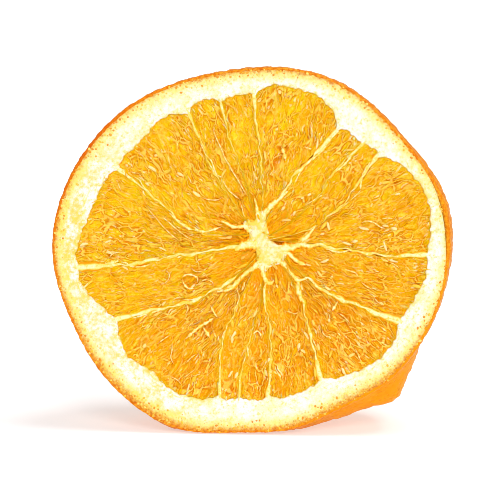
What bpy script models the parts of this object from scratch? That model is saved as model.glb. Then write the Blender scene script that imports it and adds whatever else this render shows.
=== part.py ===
"""Half an orange, cut across its segments and starting to dry, resting on its side.

It is one closed solid. Rings of points start at the middle of the core, cross the flesh, the pith
and the cut edge of the peel, and close at the far end of the skin. Each ring has the same columns:
the crest and the two feet of every membrane, and the fibres of flesh between them.

All sizes are in millimetres until the last step. On the cut face u runs to the right and v up from
the middle of the face, and w runs back into the fruit. Angles are in degrees, anticlockwise from u.
A swell is (angle, spread, size): a smooth rise of that size, most of it within the spread.
"""

import math

import bpy
import numpy as np

MM = 0.001

# The outline of the cut face
HALF_WIDTH = 38.25
HALF_HEIGHT = 35.65
RIM_SWELLS = (
    (16, 17, 1.3),
    (31, 26, -2.4),
    (102, 28, -1.8),
    (150, 25, -0.7),
    (201, 16, -0.9),
    (245, 19, 0.9),
    (267, 13, -1.1),
    (307, 24, -2.7),
    (314, 14, 1.2),
    (349, 27, -1.2),
)

# Peel and pith together, from the rim in to the flesh
WALL = 2.85
WALL_SWELLS = (
    (3, 11, 1.3),
    (50, 16, 3.9),
    (75, 5, 0.6),
    (99, 14, 2.3),
    (117, 6, 1.7),
    (136, 16, 3.6),
    (165, 20, 3.6),
    (207, 13, 3.9),
    (230, 7, 1.7),
    (252, 36, 4.0),
    (294, 19, 2.2),
    (314, 14, 1.2),
    (339, 13, 2.5),
)
PEEL = 1.3
EDGE_ROUNDING = 0.5
EDGE_SWELLS = ((9, 14, 0.8), (145, 30, 0.3))

# The core, and the membranes that run from it to the wall: angle at the wall, angle at the core,
# bow to the left going outward, twist into an S, how far the pith reaches in along it, and strength
# from 0 to 1
CORE_U, CORE_V = 1.9, 1.3
CORE_RADIUS = 2.8
MEMBRANES = (
    (-1.0, 8, -0.5, 0.4, 0.8, 0.8),
    (36.9, 20, -3.0, -0.4, 2.0, 0.7),
    (44.2, 42, -0.7, -0.6, 0.6, 0.5),
    (55.2, 88, 1.1, 0.2, 2.4, 1.0),
    (89.5, 99, -0.7, -0.2, 1.7, 0.7),
    (102.4, 109, -0.1, -0.3, 0.9, 0.4),
    (115.4, 122, 1.2, 0.1, 1.2, 0.6),
    (149.5, 141, 3.6, 1.0, 1.5, 0.9),
    (186.4, 188, 0.4, -0.2, 0.9, 1.0),
    (207.7, 250, 2.5, 0.4, 0.9, 1.0),
    (257.6, 258, -2.0, 0.4, 1.4, 0.6),
    (265.3, 267, 0.6, 0.7, 0.9, 0.4),
    (276.9, 280, 0.4, -0.4, 1.5, 0.7),
    (298.9, 320, 1.6, 0.3, 1.6, 0.9),
    (334.6, 333, -1.9, -0.2, 1.2, 1.0),
)
HALF_MEMBRANE = 0.55
CORE_FLARE = 0.1  # the first share of its way on which a membrane is thicker
WIDEST_FOOT = 0.3  # the most of a narrow segment's width that one membrane takes
MEMBRANE_WAVE = 0.15
WAVE_TURN = 14.0
WAVE_STEP = 2.1
LOBE_CORNER = 3.5

# Heights on the cut face: the flesh has shrunk below the cut, most of all in hollows at the core,
# and less where a segment is narrow. Weak membranes sag between their ends
FLESH_SINK = 1.0
HOLLOW = 1.3
HOLLOW_REACH = 0.12
NARROW = 3.0
MEMBRANE_SAG = 0.5
FACE_WARP = 0.25
WARP_U, WARP_V = 17.0, 14.0
WARP_START = 0.6

# The fibres of flesh: ridges that run outward from the core, wavering from side to side
FIBRE_RELIEF = 0.35
FIBRE_ANGLE = 3.2
FIBRE_WAVER = 2.2
FIBRE_TURN = 5.5
FIBRE_STEP = 1.7

# The skin behind the face: depth, squareness, and how it bulges out behind the cut edge
DEPTH = 31.0
ROUNDNESS = 2.3
ROUNDNESS_SWELLS = ((270, 50, 2.0),)
BULGE = 0.5
BULGE_SWELLS = ((314.3, 6.2, 2.8), (323.8, 5.4, 1.2), (306.3, 14, 2.7), (314, 14, -1.2), (262, 25, 0.6))
BULGE_REACH = 3.4
DENT = 0.3
DENT_LENGTH = 6.0
SCAR_RADIUS = 3.2
SCAR_DEPTH = 0.8
SCAR_POINTS = 0.15
FIRST_SLOPE, LAST_SLOPE = 2.2, 87.2

# How it rests: the face leans back, and its weight presses the underside flat
LEAN = 4.0
PRESSED = 0.5
FACE_X, FACE_Y, FACE_Z = 0.27, -14.3, 34.65

# Where the rings of points lie, as shares of the way across each zone, and how the two last rings
# of the cut edge lie: shares of its rounding inward from the rim and back from the face
CORE_RINGS = (0.3, 0.65, 1.0)
FLESH_RINGS = (0.035, 0.1, 0.18, 0.27, 0.36, 0.45, 0.54, 0.63, 0.72, 0.81, 0.9, 0.965, 1.0)
PITH_RINGS = (0.35, 0.7, 1.0)
EDGE_RINGS = ((1.0, 0.0), (0.3, 0.35))
SKIN_RINGS = 14


def swell(angle, table):
    """The sum of a table's swells at these angles."""
    total = np.zeros_like(np.asarray(angle, float))
    for centre, spread, size in table:
        away = (angle - centre + 180.0) % 360.0 - 180.0
        total = total + size * np.exp(-((away / spread) ** 2))
    return total


def turn(angle):
    """The unit direction on the face at each angle."""
    a = np.radians(angle)
    return np.stack([np.cos(a), np.sin(a)], axis=-1)


def rim_radius(angle):
    """The outline of the cut face: an ellipse with its swells and dents."""
    u, v = HALF_HEIGHT * np.cos(np.radians(angle)), HALF_WIDTH * np.sin(np.radians(angle))
    return HALF_WIDTH * HALF_HEIGHT / np.hypot(u, v) + swell(angle, RIM_SWELLS)


def edge_rounding(angle):
    """How far the cut edge is rounded off."""
    return EDGE_ROUNDING + swell(angle, EDGE_SWELLS)


def membrane(i):
    """The i-th membrane going round. Past the last one they start again, a full turn further on."""
    wall_angle, core_angle, *rest = MEMBRANES[i % len(MEMBRANES)]
    turned = 360.0 * (i // len(MEMBRANES))
    return wall_angle + turned, core_angle + turned, *rest


def lobe_edge(i, s):
    """The outer end of segment i at a share s of its width: the wall's inner edge, with corners
    rounded by pith that reaches in along the membranes."""
    first, last = membrane(i), membrane(i + 1)
    angle = first[0] + (last[0] - first[0]) * s
    radius = rim_radius(angle) - WALL - swell(angle, WALL_SWELLS)
    width = np.radians(last[0] - first[0]) * radius
    corner = np.minimum(LOBE_CORNER, width / 2)
    for notch, away in ((first[4], s * width), (last[4], (1 - s) * width)):
        reach = np.clip(1 - away / corner, 0, 1)
        radius = radius - notch * (1 - np.sqrt(1 - reach**2))
    return radius[..., None] * turn(angle)


def flesh_point(i, s, r):
    """The point of segment i at a share s across it and r out along it, from the core to the wall."""
    first, last = membrane(i), membrane(i + 1)
    core_angle = first[1] + (last[1] - first[1]) * s
    start = np.array([CORE_U, CORE_V]) + CORE_RADIUS * turn(core_angle)
    way = lobe_edge(i, s) - start
    left = np.stack([-way[..., 1], way[..., 0]], axis=-1)
    left = left / np.linalg.norm(left, axis=-1, keepdims=True)
    bow = first[2] + (last[2] - first[2]) * s
    bow = bow + MEMBRANE_WAVE * np.sin(WAVE_TURN * r + WAVE_STEP * (i + s))
    twist = first[3] + (last[3] - first[3]) * s
    aside = bow * np.sin(math.pi * r) + twist * np.sin(2 * math.pi * r)
    return start + way * r[..., None] + aside[..., None] * left


def segment_width(i, r):
    """The width of segment i from membrane to membrane, r out along it."""
    across = flesh_point(i, np.ones_like(r), r) - flesh_point(i, np.zeros_like(r), r)
    return np.linalg.norm(across, axis=-1)


def face_warp(u, v):
    """The cut isn't quite flat: how far it lies back at (u, v)."""
    return FACE_WARP * np.sin(u / WARP_U + WARP_START) * np.cos(v / WARP_V)


def segment_columns(i):
    """The columns of segment i: its first membrane's crest, a foot, its fibres, and the last foot.
    Each is (share of the way from foot to foot, or None for the crest)."""
    span = membrane(i + 1)[0] - membrane(i)[0]
    fibres = max(1, round(span / FIBRE_ANGLE - 0.5))
    return [None] + [k / (fibres + 1) for k in range(fibres + 2)]


def face_columns():
    """The points of every column across the core, the flesh and to the wall, column by column, and
    the angle at which each meets the wall."""
    r = np.array((0.0,) + FLESH_RINGS)
    columns, angles = [], []
    for i in range(len(MEMBRANES)):
        first, last = membrane(i), membrane(i + 1)
        width = segment_width(i, r)
        foot = np.minimum(WIDEST_FOOT, HALF_MEMBRANE * (1 + np.exp(-r / CORE_FLARE)) / width)
        sag = MEMBRANE_SAG * (1 - first[5]) * np.sqrt(np.sin(math.pi * r))
        for k, share in enumerate(segment_columns(i)):
            if share is None:
                s, depth = np.zeros_like(r), sag
            else:
                s = foot + share * (1 - 2 * foot)
                room = np.minimum(1.0, width / NARROW)
                depth = (FLESH_SINK + HOLLOW * np.exp(-r / HOLLOW_REACH)) * room
                fibre = math.pi * k + FIBRE_WAVER * np.sin(FIBRE_TURN * r + FIBRE_STEP * k + i)
                inner = 4 * share * (1 - share)
                depth = depth + FIBRE_RELIEF * np.cos(fibre) * inner * room
                depth[0] = depth[-1] = 0.0
            uv = flesh_point(i, s, r)
            columns.append(np.column_stack([uv, face_warp(uv[:, 0], uv[:, 1]) + depth]))
            angles.append(first[0] + (last[0] - first[0]) * s[-1])
    return np.array(columns), np.array(angles)


def wall_rings(edge, angles):
    """Rings from the wall's inner edge across the pith and the peel, and round the cut edge."""
    rim, rounding = rim_radius(angles), edge_rounding(angles)
    inner = np.hypot(edge[:, 0], edge[:, 1])
    rings = []
    for share in PITH_RINGS:
        radius = inner + (rim - rounding - PEEL / 2 - inner) * share
        uv = radius[:, None] * turn(angles)
        rings.append(np.column_stack([uv, face_warp(uv[:, 0], uv[:, 1])]))
    for inward, back in EDGE_RINGS:
        uv = (rim - rounding * inward)[:, None] * turn(angles)
        rings.append(np.column_stack([uv, face_warp(uv[:, 0], uv[:, 1]) + rounding * back]))
    return rings


def skin_point(angle, slope):
    """The skin at an angle round the fruit and a slope from 0 at the rim to 90 at its far end."""
    power = ROUNDNESS + swell(angle, ROUNDNESS_SWELLS)
    out, back = np.cos(np.radians(slope)), np.sin(np.radians(slope))
    size = (out**power + back**power) ** (-1 / power)
    w = DEPTH * back * size
    bulge = (BULGE + swell(angle, BULGE_SWELLS)) * (1 - np.exp(-((w / BULGE_REACH) ** 2)))
    radius = (rim_radius(angle) + bulge) * out * size
    a = np.radians(angle)
    dents = np.sin(3 * a + w / DENT_LENGTH) + np.sin(5 * a) * np.cos(w / DENT_LENGTH)
    radius = radius + DENT * dents * np.sin(np.radians(2 * slope))
    scar = np.exp(-((radius / SCAR_RADIUS) ** 2)) * (1 + SCAR_POINTS * np.cos(5 * a))
    w = w - SCAR_DEPTH * scar
    return np.column_stack([radius[:, None] * turn(angle), w])


def skin_rings(angles):
    """Rings round the skin. The columns even out on the way to the far end."""
    even = angles.mean() - 180.0 + 360.0 * (np.arange(len(angles)) + 0.5) / len(angles)
    rings = []
    for k in range(SKIN_RINGS):
        share = k / (SKIN_RINGS - 1)
        slope = FIRST_SLOPE + (LAST_SLOPE - FIRST_SLOPE) * share
        eased = angles + (even - angles) * share * share * (3 - 2 * share)
        rings.append(skin_point(eased, slope))
    return rings


def stand(points):
    """Points of the fruit's own frame as it rests, in metres: leaning back, pressed by the floor."""
    u, v, w = np.asarray(points).T
    lean = math.radians(LEAN)
    z = FACE_Z + v * math.cos(lean) - w * math.sin(lean)
    pressed = np.where(z < -PRESSED, 0.0, (z + PRESSED) ** 2 / (4 * PRESSED))
    z = np.where(z < PRESSED, pressed, z)
    y = FACE_Y + v * math.sin(lean) + w * math.cos(lean)
    return np.column_stack([FACE_X + u, y, z]) * MM


def material(name, colour, roughness):
    """A plain Principled material."""
    made = bpy.data.materials.new(name)
    made.use_nodes = True
    shader = made.node_tree.nodes["Principled BSDF"]
    shader.inputs["Base Color"].default_value = (*colour, 1.0)
    shader.inputs["Roughness"].default_value = roughness
    made.diffuse_color = (*colour, 1.0)
    return made


def orange_half():
    """The half orange as one closed mesh, with its flesh, pith and peel as materials."""
    columns, angles = face_columns()
    middle = np.array([CORE_U, CORE_V, face_warp(CORE_U, CORE_V)])
    rings = [middle + (columns[:, 0] - middle) * share for share in CORE_RINGS]
    rings += [columns[:, k] for k in range(1, columns.shape[1])]
    flesh_end = len(rings)
    rings += wall_rings(rings[-1], angles)
    pith_end = len(rings) - 2
    rings += skin_rings(angles)
    far_end = skin_point(np.array([0.0]), 90.0)

    flesh, pith, peel = 0, 1, 2
    zones = [pith] * len(CORE_RINGS[:-1]) + [flesh] * (flesh_end - len(CORE_RINGS[:-1]) - 1)
    zones += [pith] * (pith_end - flesh_end) + [peel] * (len(rings) - pith_end)
    count = len(angles)
    points = np.vstack([[middle], *rings, far_end])
    faces, looks = [], []
    for j in range(count):
        following = (j + 1) % count
        faces.append((0, 1 + j, 1 + following))
        looks.append(pith)
        for k in range(len(rings) - 1):
            inner, outer = 1 + k * count, 1 + (k + 1) * count
            faces.append((inner + j, outer + j, outer + following, inner + following))
            looks.append(zones[k])
        last = 1 + (len(rings) - 1) * count
        faces.append((last + j, len(points) - 1, last + following))
        looks.append(peel)

    mesh = bpy.data.meshes.new("orange_half")
    mesh.from_pydata(stand(points).tolist(), [], faces)
    mesh.materials.append(material("orange_flesh", (0.93, 0.42, 0.02), 0.3))
    mesh.materials.append(material("white_pith", (0.97, 0.94, 0.72), 0.7))
    mesh.materials.append(material("orange_peel", (0.92, 0.30, 0.01), 0.45))
    mesh.polygons.foreach_set("material_index", looks)
    mesh.shade_smooth()
    mesh.set_sharp_from_angle(angle=math.radians(50))
    mesh.update()
    made = bpy.data.objects.new("orange_half", mesh)
    bpy.context.scene.collection.objects.link(made)
    return made


for left_over in list(bpy.data.objects):
    bpy.data.objects.remove(left_over, do_unlink=True)
orange_half()
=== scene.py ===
"""Half an orange, cut across its segments and starting to dry, standing on its side.

The sections follow the fruit from the outside in: the peel, the pith under it, the oil glands in
the cut rind, the core with the membranes and the torn seams, the fifteen segments of flesh, the
bed of the hollows round the core, and the loose threads of torn juice sacs. The stage, the light
and the camera come last.
"""

import math

import bpy
import numpy as np
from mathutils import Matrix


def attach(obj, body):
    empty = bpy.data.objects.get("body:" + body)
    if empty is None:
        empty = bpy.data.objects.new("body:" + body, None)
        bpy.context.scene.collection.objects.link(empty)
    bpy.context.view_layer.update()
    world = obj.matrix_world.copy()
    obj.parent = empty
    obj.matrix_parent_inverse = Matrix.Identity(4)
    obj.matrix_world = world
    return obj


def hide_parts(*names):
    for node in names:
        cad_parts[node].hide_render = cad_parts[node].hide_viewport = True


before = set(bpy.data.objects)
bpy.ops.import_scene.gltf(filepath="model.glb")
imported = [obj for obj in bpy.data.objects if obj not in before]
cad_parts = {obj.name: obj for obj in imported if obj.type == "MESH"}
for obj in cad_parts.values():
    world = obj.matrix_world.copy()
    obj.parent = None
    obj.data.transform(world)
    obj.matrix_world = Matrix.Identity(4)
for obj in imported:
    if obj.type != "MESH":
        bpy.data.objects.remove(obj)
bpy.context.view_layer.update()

# ---------------------------------------------------------------------------------------------
# The peel: a waxy skin, 1.3 mm thick, full of oil glands that show as fine pores. It is one closed
# shell behind the cut face, round the whole back of the fruit, with a dry scar at the far end.
# All sizes are in millimetres until stand() puts them in the frame. On the cut face u runs right
# and v up from its middle, w runs back into the fruit. A swell is (angle, spread, size).

HALF_WIDTH, HALF_HEIGHT = 38.25, 35.65
RIM_SWELLS = (
    (16, 17, 1.3), (31, 26, -2.4), (102, 28, -1.8), (150, 25, -0.7), (201, 16, -0.9),
    (245, 19, 0.9), (267, 13, -1.1), (307, 24, -2.7), (314, 14, 1.2), (349, 27, -1.2),
)
EDGE_ROUNDING, EDGE_START, FIRST_BEND = 0.5, 0.03, 1.25
EDGE_SWELLS = ((9, 14, 0.8), (145, 30, 0.3))
DEPTH, ROUNDNESS = 31.0, 2.3
ROUNDNESS_SWELLS = ((270, 50, 2.0),)
BULGE, BULGE_REACH = 0.5, 3.4
BULGE_SWELLS = (
    (314.3, 6.2, 2.8), (323.8, 5.4, 1.2), (306.3, 14, 2.7), (314, 14, -1.2), (262, 25, 0.6),
)
DENT, DENT_LENGTH = 0.3, 6.0
SCAR_RADIUS, SCAR_DEPTH, SCAR_POINTS, SCAR_SPREAD = 3.2, 0.8, 0.15, 2.4
FACE_WARP = 0.25
WARP_U, WARP_V, WARP_START = 17.0, 14.0, 0.6
LEAN, PRESSED = 4.0, 0.5
FACE_X, FACE_Y, FACE_Z = 0.27, -14.3, 34.65

PEEL_COLUMNS, SKIN_RINGS, EDGE_RINGS = 640, 122, 6
LAST_BEND, LAST_SLOPE = 80.0, 88.6
PEEL_BACK = 4.0
# The peel's hidden front: share of the rim's radius, inset from it, and depth
FRONT_RINGS = (
    (0.3, 0, PEEL_BACK), (0.65, 0, PEEL_BACK), (1, 3.2, PEEL_BACK), (1, 1.9, 2.0), (1, 1.2, 0.5),
    (1, 0.9, 0.12),
)
PORE_SPACING, PORE_DEPTH = 0.00085, 0.00015
SKIN_UNDULATION, PUCKERS = 0.00022, 0.0002
PUCKER_WIDTH, PUCKER_LENGTH, PUCKER_REACH = 1.3, 9.0, (14.0, 4.0)
RIPE_SWELLS = ((148, 34, 0.9), (190, 30, 0.3), (40, 20, 0.3))
RIPE_FADE = 14.0
# Band behind the cut, brown from drying and painted shade where the skin curves away: place and spread
BROWN_SHADE_BACK, BROWN_SHADE_SPREAD = 4.6, 2.0
PALE_EDGE_SWELLS = ((315, 40, 0.8),)
SMOOTH_SWELLS = ((312, 24, 1.2), (352, 24, 0.5))
TORN_BACK, TORN_FADE, TORN_MOST, TORN_SMOOTHED = 3.2, 1.2, 0.85, 0.7

# Colours are given as they look on a screen, from 0 to 255
SKIN_LIGHT, SKIN_DEEP, SKIN_PATCH = (243, 158, 4), (235, 136, 0), (245, 158, 14)
SKIN_RIPE, SKIN_PORE_SHADE, SKIN_BROWN_AND_SHADE = (214, 80, 2), (214, 92, 2), (184, 80, 8)
TORN_LIGHT, TORN_DEEP = (238, 158, 38), (204, 98, 8)
SCAR_BROWN = (196, 112, 24)


def swell(angle, table):
    """The sum of a table's swells at these angles."""
    total = np.zeros_like(np.asarray(angle, float))
    for centre, spread, size in table:
        away = (angle - centre + 180.0) % 360.0 - 180.0
        total = total + size * np.exp(-((away / spread) ** 2))
    return total


def turn(angle):
    """The unit direction on the face at each angle."""
    a = np.radians(angle)
    return np.stack([np.cos(a), np.sin(a)], axis=-1)


def rim_radius(angle):
    """The outline of the cut face: an ellipse with its swells and dents."""
    u, v = HALF_HEIGHT * np.cos(np.radians(angle)), HALF_WIDTH * np.sin(np.radians(angle))
    return HALF_WIDTH * HALF_HEIGHT / np.hypot(u, v) + swell(angle, RIM_SWELLS)


def face_warp(u, v):
    """The cut isn't quite flat: how far it lies back at (u, v)."""
    return FACE_WARP * np.sin(u / WARP_U + WARP_START) * np.cos(v / WARP_V)


def on_face(uv, depth):
    """Points at these places on the cut face, this far back from it."""
    w = face_warp(uv[..., 0], uv[..., 1]) + depth
    return np.concatenate([uv, w[..., None]], axis=-1)


def skin_point(angle, slope):
    """The skin at an angle round the fruit and a slope from 0 at the rim to 90 at its far end."""
    power = ROUNDNESS + swell(angle, ROUNDNESS_SWELLS)
    out, back = np.cos(np.radians(slope)), np.sin(np.radians(slope))
    size = (out**power + back**power) ** (-1 / power)
    w = DEPTH * back * size
    bulge = (BULGE + swell(angle, BULGE_SWELLS)) * (1 - np.exp(-((w / BULGE_REACH) ** 2)))
    radius = (rim_radius(angle) + bulge) * out * size
    a = np.radians(angle)
    dents = np.sin(3 * a + w / DENT_LENGTH) + np.sin(5 * a) * np.cos(w / DENT_LENGTH)
    radius = radius + DENT * dents * np.sin(np.radians(2 * slope))
    scar = np.exp(-((radius / SCAR_RADIUS) ** 2)) * (1 + SCAR_POINTS * np.cos(5 * a))
    w = w - SCAR_DEPTH * scar
    return np.concatenate([radius[..., None] * turn(angle), w[..., None]], axis=-1)


def stand(points):
    """Points of the fruit's own frame as it rests, in metres: leaning back, pressed by the floor."""
    u, v, w = np.asarray(points, float).reshape(-1, 3).T
    lean = math.radians(LEAN)
    z = FACE_Z + v * math.cos(lean) - w * math.sin(lean)
    pressed = np.where(z < -PRESSED, 0.0, (z + PRESSED) ** 2 / (4 * PRESSED))
    z = np.where(z < PRESSED, pressed, z)
    y = FACE_Y + v * math.sin(lean) + w * math.cos(lean)
    return np.column_stack([FACE_X + u, y, z]) * 0.001


def ring_faces(rings, columns, first=0, wrapped=False):
    """Quads between closed rings of points, and from the last ring to the first if wrapped."""
    j = np.arange(columns)
    following = (j + 1) % columns
    inner = np.arange(rings if wrapped else rings - 1)[:, None]
    outer = (inner + 1) % rings
    inner, outer = first + inner * columns, first + outer * columns
    quads = np.stack([inner + j, outer + j, outer + following, inner + following], axis=-1)
    return quads.reshape(-1, 4).tolist()


def pole_faces(pole, ring, columns, inward):
    """Triangles between a point and a ring: the ring's outer side first where inward is true."""
    j = np.arange(columns)
    a, b = ring + j, ring + (j + 1) % columns
    corners = (np.full(columns, pole), a, b) if inward else (a, np.full(columns, pole), b)
    return np.stack(corners, axis=-1).tolist()


def mesh_object(name, points, faces, attributes):
    """A smooth object with its place in its mesh, and named values stored at its points."""
    mesh = bpy.data.meshes.new(name)
    mesh.from_pydata(points.tolist(), [], faces)
    for label, values in attributes.items():
        values = np.asarray(values, np.float32)
        if values.ndim == 2:
            mesh.attributes.new(label, "FLOAT_VECTOR", "POINT")
            mesh.attributes[label].data.foreach_set("vector", values.ravel())
        else:
            mesh.attributes.new(label, "FLOAT", "POINT")
            mesh.attributes[label].data.foreach_set("value", values)
    mesh.shade_smooth()
    made = bpy.data.objects.new(name, mesh)
    bpy.context.scene.collection.objects.link(made)
    return made


def fill(tree, made, inputs):
    """Sets a node's inputs, each given as (socket, value or a socket to link from)."""
    for socket, value in inputs:
        if isinstance(value, bpy.types.NodeSocket):
            tree.links.new(value, made.inputs[socket])
        else:
            made.inputs[socket].default_value = value


def node(tree, kind, inputs=(), **settings):
    """A new node with these settings and inputs."""
    made = tree.nodes.new(kind)
    for key, value in settings.items():
        setattr(made, key, value)
    fill(tree, made, inputs)
    return made


def math_of(tree, operation, *values):
    """The result of a Math node on these values or sockets."""
    return node(tree, "ShaderNodeMath", enumerate(values), operation=operation).outputs[0]


def plus(tree, first, second):
    """The sum of two numbers."""
    return math_of(tree, "ADD", first, second)


def minus(tree, first, second):
    """The difference of two numbers."""
    return math_of(tree, "SUBTRACT", first, second)


def times(tree, first, second):
    """The product of two numbers."""
    return math_of(tree, "MULTIPLY", first, second)


def times_plus(tree, first, second, third):
    """The product of the first two numbers, plus the third."""
    return math_of(tree, "MULTIPLY_ADD", first, second, third)


def divided(tree, first, second):
    """The first number divided by the second."""
    return math_of(tree, "DIVIDE", first, second)


def vector_of(tree, operation, *values):
    """The result of a Vector Math node. Scale takes its number as the second value."""
    sockets = (0, "Scale") if operation == "SCALE" else (0, 1, 2)
    made = node(tree, "ShaderNodeVectorMath", zip(sockets, values), operation=operation)
    return made.outputs["Value" if operation in ("LENGTH", "DOT_PRODUCT") else "Vector"]


def joined(tree, x, y, z=0.0):
    """A vector joined from three numbers."""
    return node(tree, "ShaderNodeCombineXYZ", [(0, x), (1, y), (2, z)]).outputs[0]


def parts_of(tree, vector):
    """The three numbers of a vector or a colour."""
    return node(tree, "ShaderNodeSeparateXYZ", [(0, vector)]).outputs


def span_of(tree, value, low, high, start=0.0, end=1.0, smooth=True):
    """A value mapped from low..high to start..end and held there outside it."""
    kind = "SMOOTHSTEP" if smooth else "LINEAR"
    inputs = (("Value", value), ("From Min", low), ("From Max", high), ("To Min", start), ("To Max", end))
    return node(tree, "ShaderNodeMapRange", inputs, interpolation_type=kind).outputs["Result"]


def noise_of(tree, place, scale, detail=2.0, roughness=0.5):
    """A noise from 0 to 1 at this place."""
    inputs = [("Vector", place), ("Scale", scale), ("Detail", detail), ("Roughness", roughness)]
    return node(tree, "ShaderNodeTexNoise", inputs).outputs[0]


def cells_of(tree, place, scale=1.0, feature="F1"):
    """Random cells at this place: the distance from their middles or edges, and their colours."""
    inputs = [("Vector", place), ("Scale", scale)]
    return node(tree, "ShaderNodeTexVoronoi", inputs, feature=feature).outputs


def new_nodes_group(name, numbers):
    """A Geometry Nodes tree with a geometry in and out, a material, and named numbers."""
    tree = bpy.data.node_groups.new(name, "GeometryNodeTree")
    tree.interface.new_socket("Geometry", in_out="INPUT", socket_type="NodeSocketGeometry")
    for label in numbers:
        tree.interface.new_socket(label, in_out="INPUT", socket_type="NodeSocketFloat")
    tree.interface.new_socket("Material", in_out="INPUT", socket_type="NodeSocketMaterial")
    tree.interface.new_socket("Geometry", in_out="OUTPUT", socket_type="NodeSocketGeometry")
    return tree, tree.nodes.new("NodeGroupInput").outputs


def finish_group(tree, geometry, inputs):
    """The end of a Geometry Nodes tree: instances made real, and the material set."""
    real = node(tree, "GeometryNodeRealizeInstances", [(0, geometry)]).outputs[0]
    kept = [("Geometry", real), ("Material", inputs["Material"])]
    done = node(tree, "GeometryNodeSetMaterial", kept).outputs[0]
    node(tree, "NodeGroupOutput", [(0, done)])


def worked(piece, tree, values):
    """The piece as a plain mesh after the tree has worked on it with these input values."""
    modifier = piece.modifiers.new(tree.name, "NODES")
    modifier.node_group = tree
    sockets = {item.name: item.identifier for item in tree.interface.items_tree if item.in_out == "INPUT"}
    for label, value in values.items():
        modifier[sockets[label]] = value
    depsgraph = bpy.context.evaluated_depsgraph_get()
    mesh = bpy.data.meshes.new_from_object(piece.evaluated_get(depsgraph), depsgraph=depsgraph)
    piece.modifiers.clear()
    before, piece.data = piece.data, mesh
    mesh.name = piece.name
    bpy.data.meshes.remove(before)
    return piece


def attribute(tree, name, kind="FLOAT"):
    """A named value of the mesh's points, in a Geometry Nodes tree."""
    made = node(tree, "GeometryNodeInputNamedAttribute", [("Name", name)], data_type=kind)
    return made.outputs["Attribute"]


def position(tree):
    """Where each point of the mesh lies, in a Geometry Nodes tree."""
    return tree.nodes.new("GeometryNodeInputPosition").outputs[0]


def normal(tree):
    """The direction in which the surface faces, in a Geometry Nodes tree."""
    return tree.nodes.new("GeometryNodeInputNormal").outputs[0]


def placed_above_floor(tree, geometry, place):
    """The geometry with its points moved to this place, but never below the floor."""
    x, y, z = parts_of(tree, place)
    place = joined(tree, x, y, math_of(tree, "MAXIMUM", z, 0.0))
    inputs = [("Geometry", geometry), ("Position", place)]
    return node(tree, "GeometryNodeSetPosition", inputs).outputs[0]


def screen(red, green, blue):
    """A colour given as it looks on a screen, from 0 to 255, as the shaders take it."""
    parts = [value / 255.0 for value in (red, green, blue)]
    parts = [p / 12.92 if p <= 0.04045 else ((p + 0.055) / 1.055) ** 2.4 for p in parts]
    return (*parts, 1.0)


def mix_of(tree, factor, first, second):
    """Two colours mixed by a factor, each a socket or a screen colour."""
    first, second = (screen(*c) if isinstance(c, tuple) else c for c in (first, second))
    inputs = ((0, factor), (6, first), (7, second))
    return node(tree, "ShaderNodeMix", inputs, data_type="RGBA").outputs[2]


def painted(tree, colour, layers):
    """A colour with others laid over it in turn, each given as (factor, colour)."""
    for factor, above in layers:
        colour = mix_of(tree, factor, colour, above)
    return colour


def value_at(tree, name):
    """A named value of the mesh, in a shader."""
    return node(tree, "ShaderNodeAttribute", attribute_name=name).outputs["Fac"]


def bump_of(tree, height, strength, distance):
    """A normal bent by this height."""
    inputs = [("Height", height), ("Strength", strength), ("Distance", distance)]
    return node(tree, "ShaderNodeBump", inputs).outputs[0]


def new_material(name):
    """A new Principled material: the material, its tree and its shader."""
    made = bpy.data.materials.new(name)
    made.use_nodes = True
    return made, made.node_tree, made.node_tree.nodes["Principled BSDF"]


def own_place(tree):
    """Where each point lies on its piece, in a shader."""
    return node(tree, "ShaderNodeTexCoord").outputs["Object"]


def edge_rounding(angle):
    """How far the cut edge is rounded off."""
    return EDGE_ROUNDING + swell(angle, EDGE_SWELLS)


def peel_rings(angles):
    """Rings of the peel from the hidden middle of its front, round the cut edge and over the back,
    with how far each ring is part of the outer skin."""
    rim, rounding = rim_radius(angles), edge_rounding(angles)
    rings, outside = [], [0.0] * len(FRONT_RINGS)
    for share, inset, depth in FRONT_RINGS:
        rings.append(on_face((rim * share - inset)[:, None] * turn(angles), np.full(len(angles), depth)))
    for k in range(EDGE_RINGS):
        bend = math.radians(LAST_BEND * k / (EDGE_RINGS - 1))
        uv = (rim - rounding * (1 - math.sin(bend)))[:, None] * turn(angles)
        rings.append(on_face(uv, EDGE_START + rounding * (1 - math.cos(bend))))
        outside.append(k / EDGE_RINGS)
    first_slope = np.degrees(rounding * FIRST_BEND / DEPTH)
    for k in range(SKIN_RINGS):
        rings.append(skin_point(angles, first_slope + (LAST_SLOPE - first_slope) * k / (SKIN_RINGS - 1)))
        outside.append(1.0)
    return rings, outside


def skin_relief():
    """A tree that sinks pores and shallow undulations into the skin, only ever inward."""
    tree, inputs = new_nodes_group("peel_pores", ("Pore Spacing", "Pore Depth", "Undulation", "Puckers"))
    place, back = position(tree), attribute(tree, "back")
    spacing = vector_of(tree, "SCALE", place, divided(tree, 1.0, inputs["Pore Spacing"]))
    pore = span_of(tree, cells_of(tree, spacing)["Distance"], 0.12, 0.42, 1.0, 0.0)
    rolling = noise_of(tree, place, 420.0, 2.0, 0.55)
    sunk = times_plus(tree, pore, inputs["Pore Depth"], times(tree, rolling, inputs["Undulation"]))
    along = joined(tree, divided(tree, attribute(tree, "around"), PUCKER_WIDTH),
                   divided(tree, back, PUCKER_LENGTH))
    puckers = span_of(tree, noise_of(tree, along, 1.0, 2.0, 0.6), 0.35, 0.65, 0.0, inputs["Puckers"])
    puckers = times(tree, puckers, span_of(tree, back, *PUCKER_REACH))
    sunk = times(tree, plus(tree, sunk, puckers), attribute(tree, "outside"))
    inward = vector_of(tree, "SCALE", normal(tree), times(tree, sunk, -1.0))
    moved = vector_of(tree, "ADD", place, inward)
    finish_group(tree, placed_above_floor(tree, inputs["Geometry"], moved), inputs)
    return tree


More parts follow.
